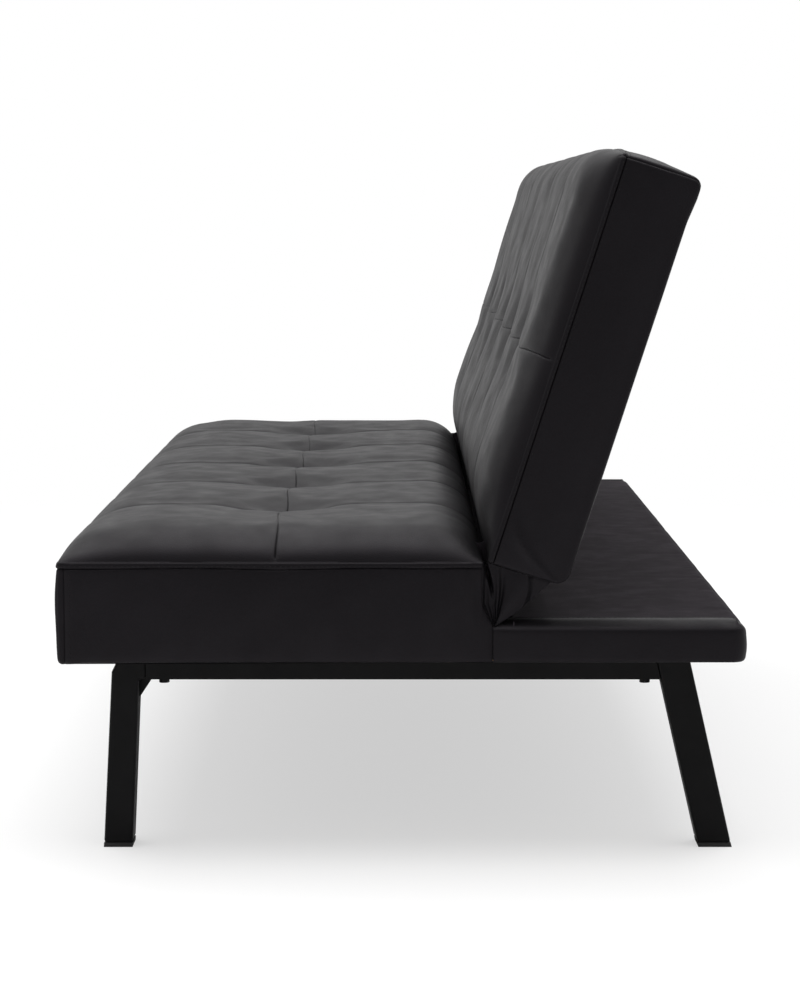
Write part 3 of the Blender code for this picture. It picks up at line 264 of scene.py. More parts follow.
def bell(distance, width):
    """exp(-(distance / width)^2)."""
    return np.exp(-((distance / width) ** 2))


def crowded(low, high, inner, least=0.0006, growth=0.15, most=0.0090):
    """Lines from low to high through every inner place, closer together beside each.

    The spacing is least + growth * (distance to the nearest place), up to most.
    """
    stops = [low, *inner, high]
    lines = []
    for start, end in zip(stops, stops[1:]):
        place = np.linspace(start, end, 500)
        near = np.minimum(place - start, end - place)
        density = 1.0 / np.minimum(least + growth * near, most)
        steps = (density[1:] + density[:-1]) / 2.0 * np.diff(place)
        total = np.concatenate([[0.0], np.cumsum(steps)])
        count = max(2, round(float(total[-1])))
        lines.append(np.interp(np.linspace(0.0, total[-1], count + 1), total, place)[:-1])
    return np.concatenate([*lines, [high]])


def rounded_plan(plan, low, high, radii):
    """Plan points of a rectangle moved onto one with round corners, and the outward normals.

    In a corner square, a point at (u, v) from the arc's centre goes to (u, v) * max(u, v) / |(u, v)|.
    The radii are those of the two corners at low Y and of the two at high Y.
    """
    low = np.asarray(low)
    high = np.asarray(high)
    radius = np.where(plan[..., 1:] < (low[1] + high[1]) / 2.0, radii[0], radii[1])
    centre = np.clip(plan, low + radius, high - radius)
    from_centre = plan - centre
    length = np.maximum(np.linalg.norm(from_centre, axis=-1), 1e-9)
    largest = np.abs(from_centre).max(axis=-1)
    moved = centre + from_centre * (largest / length)[..., None]
    return moved, from_centre / length[..., None]


def soft_noise(x, y, scale, seed):
    """A smooth unevenness between about -1 and 1: the mean of eight sine waves in seeded directions."""
    chance = np.random.default_rng(seed)
    total = np.zeros(np.broadcast(x, y).shape)
    for angle, phase, stretch in chance.uniform(0.0, 1.0, (8, 3)):
        wave = (0.6 + 0.9 * stretch) * 2.0 * math.pi / scale
        turn = angle * 2.0 * math.pi
        total = total + np.sin(wave * (x * math.cos(turn) + y * math.sin(turn)) + phase * 6.283)
    return total / 4.0


# Mesh building


def rim_of(columns, rows):
    """The grid's boundary once round, anticlockwise from its low corner, as (column, row) arrays."""
    i = np.arange(columns)
    j = np.arange(rows)
    column = np.concatenate([i, np.full(rows - 1, columns - 1), i[-2::-1], np.zeros(rows - 2, int)])
    row = np.concatenate([np.zeros(columns, int), j[1:], np.full(columns - 1, rows - 1), j[-2:0:-1]])
    return column, row


def grid_quads(columns, rows, start=0):
    """Faces of a grid stored column by column, facing up where columns run along X and rows along Y."""
    i, j = np.meshgrid(np.arange(columns - 1), np.arange(rows - 1), indexing="ij")
    first = start + i * rows + j
    return np.stack([first, first + rows, first + rows + 1, first + 1], axis=-1).reshape(-1, 4)


def loop_quads(upper, lower):
    """Faces between two closed rings of the same length, facing outwards for a rim run anticlockwise."""
    return np.stack([upper, lower, np.roll(lower, -1), np.roll(upper, -1)], axis=-1)


def mesh_object(name, points, quads, others=(), sharp=40.0):
    """A new object from points and faces that are turned to face outwards, with its place in its mesh."""
    mesh = bpy.data.meshes.new(name)
    mesh.from_pydata(np.asarray(points).tolist(), [], [*np.asarray(quads).tolist(), *others])
    work = bmesh.new()
    work.from_mesh(mesh)
    bmesh.ops.recalc_face_normals(work, faces=work.faces)
    work.to_mesh(mesh)
    work.free()
    obj = bpy.data.objects.new(name, mesh)
    bpy.context.scene.collection.objects.link(obj)
    smooth(obj, sharp)
    return obj


def smooth(obj, sharp=40.0):
    """Smooth shading, apart from edges sharper than the angle in degrees."""
    obj.data.shade_smooth()
    obj.data.set_sharp_from_angle(angle=math.radians(sharp))


def block(low, high, radius=0.00005):
    """A block with round corners in plan, as the sections of a sweep up its height."""
    turn = np.radians(np.linspace(0.0, 90.0, 6))
    x = (low[0] + radius, high[0] - radius)
    y = (low[1] + radius, high[1] - radius)
    corners = []
    for k, (i, j) in enumerate(((1, 1), (0, 1), (0, 0), (1, 0))):
        angle = turn + k * math.pi / 2.0
        corners.append(points_of(x[i] + radius * np.cos(angle), y[j] + radius * np.sin(angle)))
    outline = np.concatenate(corners)
    return np.stack([np.insert(outline, 2, z, axis=1) for z in (low[2], high[2])])


def carve(obj, *blocks):
    """Cut blocks, each given as block()'s arguments, out of a closed piece."""
    cutters = []
    for values in blocks:
        cutter = swept("cutter", block(*values))
        modifier = obj.modifiers.new("cut", "BOOLEAN")
        modifier.operation = "DIFFERENCE"
        modifier.solver = "EXACT"
        modifier.object = cutter
        cutters.append(cutter)
    graph = bpy.context.evaluated_depsgraph_get()
    result = bpy.data.meshes.new_from_object(obj.evaluated_get(graph))
    obj.modifiers.clear()
    old = obj.data
    obj.data = result
    bpy.data.meshes.remove(old)
    for cutter in cutters:
        bpy.data.meshes.remove(cutter.data)
    result.name = obj.name
    smooth(obj)


def pad(name, top, rings):
    """A closed pad from a grid of top points (columns, rows, 3) and side rings (count, rim, 3) below it."""
    columns, rows = top.shape[:2]
    column, row = rim_of(columns, rows)
    rim = len(column)
    points = np.concatenate([top.reshape(-1, 3), rings.reshape(-1, 3)])
    faces = [grid_quads(columns, rows)]
    upper = column * rows + row
    for k in range(len(rings)):
        lower = columns * rows + k * rim + np.arange(rim)
        faces.append(loop_quads(upper, lower))
        upper = lower
    i = np.arange(columns)
    front = upper[i]
    rear = upper[(columns - 1) + (rows - 1) + (columns - 1 - i)]
    faces.append(np.stack([front[1:-2], rear[1:-2], rear[2:-1], front[2:-1]], axis=-1))
    left = [front[1], front[0], *upper[:-(rows - 1):-1], rear[0], rear[1]]
    right = [front[-2], *upper[columns - 1 : columns + rows - 1], rear[-2]]
    caps = [[int(index) for index in left], [int(index) for index in reversed(right)]]
    return mesh_object(name, points, np.concatenate(faces), caps)


def shell(name, outer, inner):
    """A closed sheet between two grids of points of the same size."""
    columns, rows = outer.shape[:2]
    count = columns * rows
    column, row = rim_of(columns, rows)
    rim = column * rows + row
    points = np.concatenate([outer.reshape(-1, 3), inner.reshape(-1, 3)])
    back = grid_quads(columns, rows, count)[:, ::-1]
    edge = loop_quads(rim, rim + count)
    return mesh_object(name, points, np.concatenate([grid_quads(columns, rows), back, edge]))


def swept(name, sections):
    """A solid swept along an open path, from (path, section, 3) points, with a cap on each end."""
    index = np.arange(sections.size // 3).reshape(sections.shape[:2])
    first = index[:-1]
    second = index[1:]
    around = [first, second, np.roll(second, -1, axis=1), np.roll(first, -1, axis=1)]
    quads = np.stack(around, axis=-1).reshape(-1, 4)
    return mesh_object(name, sections.reshape(-1, 3), quads, [index[0].tolist(), index[-1][::-1].tolist()])


def stitches(name, rows_of_stitches, pitch, radius=0.00042):
    """Thread stitches along paths: each is a four-sided spindle, 0.62 of the pitch long.

    A path is (points, normals). Stitch i sits at distance (i + 1/2) * pitch along it, and its ring t has
    the radius r * sin(pi * (0.14 + 0.72 * t)) and sinks at both ends by r * (2t - 1)^2.
    """
    share = np.array([0.0, 0.34, 0.66, 1.0])
    swell = radius * np.sin(math.pi * (0.14 + 0.72 * share))
    sink = -radius * (2.0 * share - 1.0) ** 2
    angle = np.arange(4) * math.pi / 2.0
    all_points = []
    for points, normals in rows_of_stitches:
        steps = np.linalg.norm(np.diff(points, axis=0), axis=1)
        along = np.concatenate([[0.0], np.cumsum(steps)])
        count = int(along[-1] / pitch)
        middle = (np.arange(count) + 0.5) * pitch
        places = middle[:, None] + (share - 0.5) * 0.62 * pitch
        at = np.stack([np.interp(places, along, points[:, k]) for k in range(3)], axis=-1)
        out = np.stack([np.interp(middle, along, normals[:, k]) for k in range(3)], axis=-1)
        out = out / np.maximum(np.linalg.norm(out, axis=1), 1e-9)[:, None]
        way = at[:, -1] - at[:, 0]
        way = way / np.maximum(np.linalg.norm(way, axis=1), 1e-9)[:, None]
        side = np.cross(out, way)
        centre = at + out[:, None, :] * sink[None, :, None]
        ring = (
            side[:, None, None, :] * np.cos(angle)[None, None, :, None]
            + out[:, None, None, :] * np.sin(angle)[None, None, :, None]
        )
        all_points.append(centre[:, :, None, :] + ring * swell[None, :, None, None])
    grid = np.concatenate(all_points)
    index = np.arange(grid.size // 3).reshape(grid.shape[:3])
    first = index[:, :-1]
    second = index[:, 1:]
    quads = np.stack(
        [first, np.roll(first, -1, axis=2), np.roll(second, -1, axis=2), second], axis=-1
    )
    ends = np.concatenate([index[:, 0], index[:, -1, ::-1]])
    faces = np.concatenate([quads.reshape(-1, 4), ends.reshape(-1, 4)])
    return mesh_object(name, grid.reshape(-1, 3), faces, sharp=80.0)


# Cushion tops


class Quilt(NamedTuple):
    """What shapes a quilted top. Its low and high edge are those at low and at high Y."""

    width: float
    crown: float  # height of the panels above the edge seam
    tuft: float  # how much deeper the tufts lie
    groove: float  # depth of the groove along a seam
    low_rise: tuple  # reach and power of the rise from the low edge
    high_rise: tuple
    seed: int  # of everything uneven
    corners: tuple  # plan radii at the low and at the high edge
    calm_at: float  # the edge near which the cloth billows less, and over what distance
    calm_reach: float
    set_back: float = 0.0  # of the long seam, behind the middle
    bow: float = 0.0  # of the high edge, outwards


class Rim(NamedTuple):
    """A top's outer edge once round, with each point's distance along and across the top."""

    plan: np.ndarray
    along: np.ndarray
    across: np.ndarray
    normals: np.ndarray


def billow(quilt):
    """How far stretched cloth over the top moves from its starting form, as (x lines, y lines, moves).

    A coarse grid of the top is simulated as cloth with air pressure below it. It is pinned along the
    seams and edges, and is slightly too large for its frame, so it swells softly between them.
    """
    x = np.linspace(0.0, LENGTH, 145)
    y = np.linspace(0.0, quilt.width, 43)
    gx, gy = grid_of(x, y)
    start = points_of(gx, gy, tufted_top(quilt, gx, gy))
    obj = mesh_object("billow", start.reshape(-1, 3), grid_quads(len(x), len(y)))
    pins = obj.vertex_groups.new(name="pins")
    weights = pinned(quilt, gx, gy).reshape(-1)
    for level in (0.35, 0.7, 1.0):
        chosen = np.nonzero((weights > level - 0.3) & (weights <= level))[0]
        pins.add(chosen.tolist(), level, "REPLACE")
    cloth = obj.modifiers.new("cloth", "CLOTH")
    for key, value in CLOTH_VALUES.items():
        setattr(cloth.settings, key, value)
    cloth.settings.effector_weights.gravity = 0.0
    cloth.collision_settings.use_collision = False
    cloth.point_cache.frame_start = 1
    cloth.point_cache.frame_end = SETTLING_FRAMES
    scene = bpy.context.scene
    for step in range(1, SETTLING_FRAMES + 1):
        scene.frame_set(step)
    settled = obj.evaluated_get(bpy.context.evaluated_depsgraph_get()).data
    end = np.empty(len(settled.vertices) * 3, np.float32)
    settled.vertices.foreach_get("co", end)
    moves = end.reshape(start.shape) - start
    scene.frame_set(1)
    bpy.data.meshes.remove(obj.data)
    size = np.linalg.norm(moves, axis=-1, keepdims=True)
    return x, y, moves * (MOST_BILLOW * np.tanh(size / MOST_BILLOW) / np.maximum(size, 1e-9))


def resample(x_from, y_from, field, x_to, y_to):
    """The field on other grid lines, by smoothed linear interpolation along each direction."""

    def weights(source, target):
        identity = np.eye(len(source))
        soft = (np.roll(identity, 1, 0) + 2.0 * identity + np.roll(identity, -1, 0)) / 4.0
        soft[0] = identity[0]
        soft[-1] = identity[-1]
        at = np.arange(len(target))
        blended = np.zeros((len(target), len(source)))
        for shift in (-0.003, 0.0, 0.003):
            place = np.interp(target + shift, source, np.arange(len(source)))
            low = np.clip(place.astype(int), 0, len(source) - 2)
            part = place - low
            blended[at, low] += (1.0 - part) / 3.0
            blended[at, low + 1] += part / 3.0
        return blended @ soft

    return np.einsum("ia,jb,abk->ijk", weights(x_from, x_to), weights(y_from, y_to), field, optimize=True)


def seam_distances(quilt, along, across):
    """Signed distances to the nearest cross seam and to the long middle seam."""
    step = LENGTH / PANEL_COLUMNS
    nearest = np.clip(np.round(along / step), 1, PANEL_COLUMNS - 1) * step
    return along - nearest, across - quilt.width / 2.0


def edge_distances(width, along, across):
    """Distances to the nearer end and to the nearer long edge."""
    return np.minimum(along, LENGTH - along), np.minimum(across, width - across)


def tufted_top(quilt, along, across):
    """Height of a quilted top above its edge seam.

    rise(x) * rise(y) * (crown - seam dips - tufts + folds + unevenness). A seam dip is
    depth * exp(-(d / width)^2) of the distance d to a seam. A fold is a wave round a tuft that dies out
    away from it.
    """
    rise = edge_slope(np.minimum(along, LENGTH - along))
    rise = rise * edge_rise(across, *quilt.low_rise) * edge_rise(quilt.width - across, *quilt.high_rise)
    dx, dy = seam_distances(quilt, along, across)
    dips = CROSS_DIP[0] * bell(dx, CROSS_DIP[1]) + LONG_DIP[0] * bell(dy, LONG_DIP[1])
    near = np.hypot(dx, dy)
    wide = np.exp(-((dx / 0.082) ** 2) - (dy / 0.074) ** 2)
    tufts = quilt.tuft * (0.78 * wide + 0.22 * bell(near, 0.022))
    shift = 1.7 * np.sin(37.0 * np.round(along / (LENGTH / PANEL_COLUMNS)) + quilt.seed)
    waves = np.sin(6.0 * np.arctan2(dy, dx) + shift)
    folds = 0.0007 * waves * bell(near, 0.050) * (1.0 - bell(near, 0.014))
    uneven = 0.0010 * soft_noise(along, across, 0.17, quilt.seed + 2)
    return np.maximum(rise * (quilt.crown - dips - tufts + folds + uneven), 0.0)


def sunk(points, depth):
    """A grid of points moved inwards by a depth along its own normals."""
    normal = np.cross(np.gradient(points, axis=0), np.gradient(points, axis=1))
    normal = normal / np.maximum(np.linalg.norm(normal, axis=-1, keepdims=True), 1e-12)
    return points - normal * depth[..., None]


def wander(quilt, along, across):
    """Sideways drift of the seams from their straight lines, in the plane, as an (..., 2) array.

    The long seam also lies behind the middle by the set-back.
    """
    dx, dy = seam_distances(quilt, along, across)
    edge_x, edge_y = (edge_rise(d, 0.12, 1.0) for d in edge_distances(quilt.width, along, across))
    step = LENGTH / PANEL_COLUMNS
    bend = np.sin(math.pi * across / quilt.width * 2.0 + 1.9 * np.round(along / step) + quilt.seed)
    drift_x = 0.0034 * bend * bell(dx, 0.06) * edge_y * edge_x
    sway = np.sin(2.0 * math.pi * along / step + 0.7 * quilt.seed)
    drift_y = (0.0026 * sway * bell(dy, 0.06) * edge_x + quilt.set_back * bell(dy, 0.10)) * edge_y
    return points_of(drift_x, drift_y)


def pinned(quilt, along, across):
    """1 on seams and edges, and 0 on the panels."""
    dx, dy = seam_distances(quilt, along, across)
    edge = np.minimum(*edge_distances(quilt.width, along, across))
    seam = np.maximum(bell(dx, 0.007), bell(dy, 0.007))
    return unit(np.maximum(seam, bell(edge, 0.03)))


def seam_groove(distance, slope_share, slope_width, bottom_share, bottom_width):
    """A groove with slopes that level out, share * exp(-|d| / width), and a narrow round bottom."""
    slopes = slope_share * np.exp(-np.abs(distance) / slope_width)
    return slopes + bottom_share * bell(distance, bottom_width)


def quilted_grid(quilt, corner):
    """The top's points, with its low corner at a place, and its rim."""
    step = LENGTH / PANEL_COLUMNS
    x = crowded(0.0, LENGTH, [step * k for k in range(1, PANEL_COLUMNS)])
    y = crowded(0.0, quilt.width, [quilt.width / 2.0])
    gx, gy = grid_of(x, y)
    dx, dy = seam_distances(quilt, gx, gy)
    end, side = edge_distances(quilt.width, gx, gy)
    edge = np.minimum(end, side)
    plan = points_of(gx, gy) + wander(quilt, gx, gy)
    plan, normals = rounded_plan(plan, (0.0, 0.0), (LENGTH, quilt.width), quilt.corners)
    upper = unit((gy - 0.45 * quilt.width) / (0.55 * quilt.width)) ** 2
    plan[..., 1] = plan[..., 1] + quilt.bow * edge_rise(end + 0.004, 0.22) * upper
    top = points_of(plan[..., 0], plan[..., 1], tufted_top(quilt, gx, gy))
    coarse_x, coarse_y, moves = billow(quilt)
    moves = resample(coarse_x, coarse_y, moves, x, y)
    free = (1.0 - bell(dx, 0.006)) * (1.0 - bell(dy, 0.006)) * (1.0 - bell(edge, 0.012))
    calm = edge_rise(np.abs(gy - quilt.calm_at), quilt.calm_reach, 1.5)
    moves[..., 2] = np.minimum(moves[..., 2], 0.0035) * calm
    top = top + moves * free[..., None]
    wave = 1.0 + 0.25 * soft_noise(gx, gy, 0.05, quilt.seed + 5)
    deeper = np.maximum(seam_groove(dx, *CROSS_GROOVE), seam_groove(dy, *LONG_GROOVE))
    top = sunk(top, quilt.groove * deeper * wave * (1.0 - bell(edge, 0.0022))) + np.array(corner)
    rim = rim_of(len(x), len(y))
    return top, Rim(top[rim][:, :2], gx[rim], gy[rim], normals[rim])


def edge_strip(depth, rise, width, crease, crease_at, crease_width):
    """The raised strip under a seam: a low bump as wide as the strip, which ends in a crease."""
    bump = rise * unit(np.sin(math.pi * unit(depth / width))) ** 0.35
    return bump - crease * bell(depth - crease_at, crease_width)


def open_run(kept):
    """Indices of the kept points of a rim, in order, from where the rest of the rim ends."""
    order = np.roll(np.arange(len(kept)), -int(np.argmin(kept)))
    return order[kept[order]]


# Materials


class Nodes:
    """A node tree, and short ways to add and link nodes."""

    def __init__(self, tree):
        self.tree = tree
        self.places = self.add("ShaderNodeTexCoord").outputs
        self.place = self.places["Object"]

    def add(self, kind, **values):
        node = self.tree.nodes.new(kind)
        for key, value in values.items():
            if hasattr(node, key):
                setattr(node, key, value)
            else:
                node.inputs[key.replace("_", " ")].default_value = value
        return node

    def link(self, output, target):
        self.tree.links.new(output, target)

    def stretched(self, scale):
        mapping = self.add("ShaderNodeMapping", Scale=scale)
        self.link(self.place, mapping.inputs["Vector"])
        return mapping.outputs["Vector"]

    def noise(self, scale, detail=3.0, roughness=0.5, vector=None):
        node = self.add("ShaderNodeTexNoise", Scale=scale, Detail=detail, Roughness=roughness)
        self.link(vector or self.place, node.inputs["Vector"])
        return node.outputs["Fac"]

    def bands(self, vector=None, **values):
        node = self.add("ShaderNodeTexWave", **values)
        self.link(vector or self.place, node.inputs["Vector"])
        return node.outputs["Fac"]

    def ramp(self, fac, *stops):
        """Colours from (place, colour) stops."""
        node = self.add("ShaderNodeValToRGB")
        elements = node.color_ramp.elements
        while len(elements) < len(stops):
            elements.new(0.5)
        for element, (place, colour) in zip(elements, stops):
            element.position = place
            element.color = (*colour, 1.0)
        self.link(fac, node.inputs["Fac"])
        return node.outputs["Color"]

    def tones(self, fac, colour, *stops):
        """Tones of one colour from (place, brightness) stops."""
        return self.ramp(fac, *[(place, tinted(colour, factor)) for place, factor in stops])

    def spread(self, fac, low, high, from_low=0.3, from_high=0.7):
        node = self.add(
            "ShaderNodeMapRange", From_Min=from_low, From_Max=from_high, To_Min=low, To_Max=high
        )
        self.link(fac, node.inputs["Value"])
        return node.outputs["Result"]

    def bump(self, height, distance, strength, below=None):
        node = self.add("ShaderNodeBump", Distance=distance, Strength=strength)
        self.link(height, node.inputs["Height"])
        if below is not None:
            self.link(below, node.inputs["Normal"])
        return node.outputs["Normal"]

    def maths(self, operation, *values):
        """The result of a Math node, from outputs and plain numbers."""
        node = self.add("ShaderNodeMath", operation=operation)
        for socket, value in zip(node.inputs, values):
            if isinstance(value, float):
                socket.default_value = value
            else:
                self.link(value, socket)
        return node.outputs["Value"]

    def show(self, share, first, second, output):
        """Send a mix of two shaders, by the second one's share, to the tree's output node."""
        mix = self.add("ShaderNodeMixShader")
        for value, socket in zip((share, first, second), mix.inputs):
            self.link(value, socket)
        self.link(mix.outputs["Shader"], output.inputs["Surface"])


class Finish(Nodes):
    """The node tree of a new material, with its shader."""

    def __init__(self, name):
        self.material = bpy.data.materials.new(name)
        self.material.use_nodes = True
        super().__init__(self.material.node_tree)
        self.shader = self.tree.nodes["Principled BSDF"]

    def finish(self, colour, roughness, normal, **values):
        self.link(colour, self.shader.inputs["Base Color"])
        self.link(roughness, self.shader.inputs["Roughness"])
        self.link(normal, self.shader.inputs["Normal"])
        for key, value in values.items():
            self.shader.inputs[key.replace("_", " ")].default_value = value
        return self.material


def tinted(colour, factor):
    """A colour made brighter or darker by a factor."""
    return tuple(min(1.0, c * factor) for c in colour)


def leather_material(name):
    """Black faux leather: pebble grain about 1.3 mm wide, fine creases, and a slow change of tone."""
    n = Finish(name)
    tone = n.tones(n.noise(9.0, 4.0), settings().leather_colour, (0.30, 0.78), (0.55, 1.0), (0.75, 1.35))
    gloss = n.spread(n.noise(30.0, 5.0), 0.43, 0.54)
    creases = n.bump(n.noise(42.0, 4.0, 0.62), 0.0016, 0.14)
    pebbles = n.add("ShaderNodeTexVoronoi", Scale=780.0)
    n.link(n.place, pebbles.inputs["Vector"])
    grain = n.bump(pebbles.outputs["Distance"], 0.00022, 0.55, creases)
    fine = n.bump(n.noise(1500.0, 2.0), 0.0001, 0.35, grain)
    tint = (0.99, 0.91, 1.0, 1.0)
    return n.finish(tone, gloss, fine, Specular_IOR_Level=0.155, Specular_Tint=tint)


def cloth_material(name, shade, mottle):
    """Matte cloth: a plain weave with a 1.1 mm pitch, under a mottled nap."""
    n = Finish(name)
    colour = tinted(settings().cloth_colour, shade)
    patches = n.noise(26.0, 7.0, 0.68)
    tone = n.tones(patches, colour, (0.34, 1.0 - mottle), (0.5, 1.0), (0.68, 1.0 + 1.6 * mottle))
    warp = n.bands(bands_direction="X", Scale=142.0)
    weft = n.bands(bands_direction="Y", Scale=142.0)
    nap = n.bump(patches, 0.0012, 0.11)
    weave = n.bump(n.maths("MAXIMUM", warp, weft), 0.0002, 0.3, nap)
    gloss = n.spread(patches, 0.88, 0.98)
    tint = (1.0, 0.9, 1.0, 1.0)
    return n.finish(tone, gloss, weave, Specular_IOR_Level=0.10, Specular_Tint=tint)


def thread_material(name):
    """Twisted black thread."""
    n = Finish(name)
    tone = n.tones(n.noise(900.0), (0.0060, 0.0056, 0.0062), (0.35, 0.7), (0.65, 1.4))
    twist = n.bump(n.noise(2600.0, 2.0), 0.0001, 0.6)
    return n.finish(tone, n.spread(n.noise(500.0), 0.5, 0.65), twist, Specular_IOR_Level=0.14)


def coated_metal(name):
    """Satin black coating: a fine orange peel about 1.5 mm wide, with slightly uneven gloss and tone."""
    n = Finish(name)
    tone = n.tones(n.noise(14.0, 5.0), settings().metal_colour, (0.3, 0.8), (0.7, 1.3))
    peel = n.bump(n.noise(620.0, 2.0), 0.00012, 0.45)
    wave = n.bump(n.noise(60.0, 2.0), 0.0004, 0.12, peel)
    return n.finish(tone, n.spread(n.noise(45.0, 4.0), 0.38, 0.48), wave, Specular_IOR_Level=0.105)


def moulded_plastic(name):
    """Black plastic with a fine moulded grain."""
    n = Finish(name)
    tone = n.tones(n.noise(60.0), (0.012, 0.012, 0.012), (0.3, 0.85), (0.7, 1.25))
    grain = n.bump(n.noise(1300.0, 3.0), 0.0001, 0.5)
    return n.finish(tone, n.spread(n.noise(90.0), 0.55, 0.68), grain, Specular_IOR_Level=0.35)


def steel_material(name, patches, stops, drawn, drawn_along, gloss):
    """Bare steel: a tone in patches, and fine lines drawn out along one axis."""
    n = Finish(name)
    tone = n.ramp(n.noise(patches, 5.0, 0.6), *stops)
    lines = n.noise(drawn, 3.0, vector=n.stretched(drawn_along))
    return n.finish(tone, n.spread(lines, *gloss), n.bump(lines, 0.0001, 0.3), Metallic=1.0)


def sawn_timber(name):
    """Pale sawn softwood: rings stretched along X and Y, fine pores, and a rough sawn surface."""
    n = Finish(name)
    bent = n.noise(5.0, 4.0, vector=n.stretched((0.25, 0.4, 3.0)))
    along = n.stretched((0.06, 0.25, 1.0))
    rings = n.bands(along, wave_type="BANDS", bands_direction="Z", Scale=38.0, Distortion=7.0)
    mixed = n.maths("MULTIPLY_ADD", rings, 0.6, bent)
    tone = n.tones(mixed, settings().timber_colour, (0.25, 0.72), (0.6, 1.0), (1.0, 1.28))
    pores = n.noise(420.0, 3.0, vector=n.stretched((0.08, 0.3, 1.0)))
    return n.finish(tone, n.spread(pores, 0.62, 0.80), n.bump(pores, 0.0003, 0.5), Specular_IOR_Level=0.3)


ZINC = ((0.3, (0.42, 0.42, 0.43)), (0.55, (0.56, 0.56, 0.57)), (0.75, (0.63, 0.62, 0.60)))
BLACKENED = ((0.3, (0.030, 0.030, 0.031)), (0.6, (0.050, 0.050, 0.051)), (0.8, (0.085, 0.083, 0.080)))
DRAWN_Y = (1.0, 0.08, 1.0)
DRAWN_Z = (1.0, 1.0, 0.08)
MATERIALS = {
    "leather": ("black_faux_leather", leather_material),
    "cloth": ("black_matte_cloth", cloth_material, 1.0, 0.30),
    "lining": ("black_lining_cloth", cloth_material, 0.8, 0.25),
    "thread": ("black_thread", thread_material),
    "metal": ("black_coated_metal", coated_metal),
    "plastic": ("black_moulded_plastic", moulded_plastic),
    "steel": ("zinc_plated_steel", steel_material, 55.0, ZINC, 240.0, DRAWN_Y, (0.26, 0.42)),
    "dark_steel": ("blackened_steel", steel_material, 70.0, BLACKENED, 320.0, DRAWN_Z, (0.34, 0.50)),
    "timber": ("sawn_timber", sawn_timber),
}


def material(key):
    """The material of that key, made the first time it is asked for."""
    name, build, *values = MATERIALS[key]
    return bpy.data.materials.get(name) or build(name, *values)


def dressed(obj, key, body=None):
    """Give a piece its material and slot, and the body that it rides on unless it is blended."""
    obj.data.materials.clear()
    obj.data.materials.append(material(key))
    if body:
        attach(obj, body)
    return obj


# Seat


def seat_side(depth, rim):
    """Rim points at a depth below the seat's top seam, bulged outwards along their normals.

    The ends bulge by 4 mm and the front by 5 mm times the side profile, fading out at the corners, with
    two soft folds beside the gussets and a seam near the front corners. The rear edge moves back towards
    the base, where the end panels flare, and the front corners droop.
    """
    plan, gx, gy, normals = rim
    near_x, near_y = (edge_rise(d, EDGE_REACH) for d in edge_distances(SEAT_WIDTH, gx, gy))
    to_rear = SEAT_WIDTH - gy
    from_end = np.minimum(gx, LENGTH - gx)
    on_end = np.abs(normals[:, 0])
    on_front = np.maximum(-normals[:, 1], 0.0)
    on_rear = np.maximum(normals[:, 1], 0.0)
    share = np.interp(depth / SEAT_SIDE, *SEAT_BULGE)
    strip = edge_strip(depth * (1.0 + 0.11 * soft_noise(gx, gy, 0.16, 33)), *SEAT_STRIP)
    full = 0.0040 * on_end * near_y + (0.0030 + 0.0022 * near_x) * on_front
    hang = 0.0008 * soft_noise(gx * 1.3 + 7.0, gy * 1.3 + depth * 2.0, 0.20, 31)
    out = full * share + (strip + hang * min(1.0, depth / 0.02)) * (1.0 - on_rear) * (share > 0)
    low = bell(depth - 0.034, 0.030)
    out = out + 0.0016 * on_end * low * bell(to_rear - 0.020 + 0.10 * depth, 0.0050)
    out = out - 0.0014 * on_end * low * bell(to_rear - 0.0095 + 0.06 * depth, 0.0045)
    roll = 0.0018 * bell(gy - 0.0170, 0.0070) - 0.0016 * bell(gy - 0.0070, 0.0009)
    out = out + roll * (on_end > 0.9) * unit(depth / 0.010)
    corner = bell(from_end, 0.012) * bell(gy, 0.012)
    tuck = turn_in(SEAT_SIDE - depth, 0.0050) * (0.3 + 0.7 * corner)
    points = np.empty((len(gx), 3))
    points[:, :2] = plan + normals * (out - tuck)[:, None]
    z = SEAM_HEIGHT - depth
    flare = SEAT_FLARE * unit((FLARE_TOP - z) / (FLARE_TOP - FLARE_FROM))
    points[:, 1] = points[:, 1] + flare * (to_rear < 1e-6)
    droop = 0.0026 * bell(from_end, 0.030) * bell(gy, 0.028)
    points[:, 2] = z - droop * min(1.0, depth / 0.06) ** 2
    return points


def seat_depths():
    """Depths of the side's rings: close together at the strip under the seam and at the foot."""
    upper = [0.0006, 0.0015, 0.0028, 0.0042, 0.0055, 0.0064, 0.0070, 0.0076, 0.0083, 0.0095, 0.0120, 0.0160]
    middle = np.linspace(0.022, SEAT_SIDE - 0.012, 13)
    return [*upper, *middle, *[SEAT_SIDE - left for left in (0.0075, 0.0042, 0.0020, 0.0007)]]


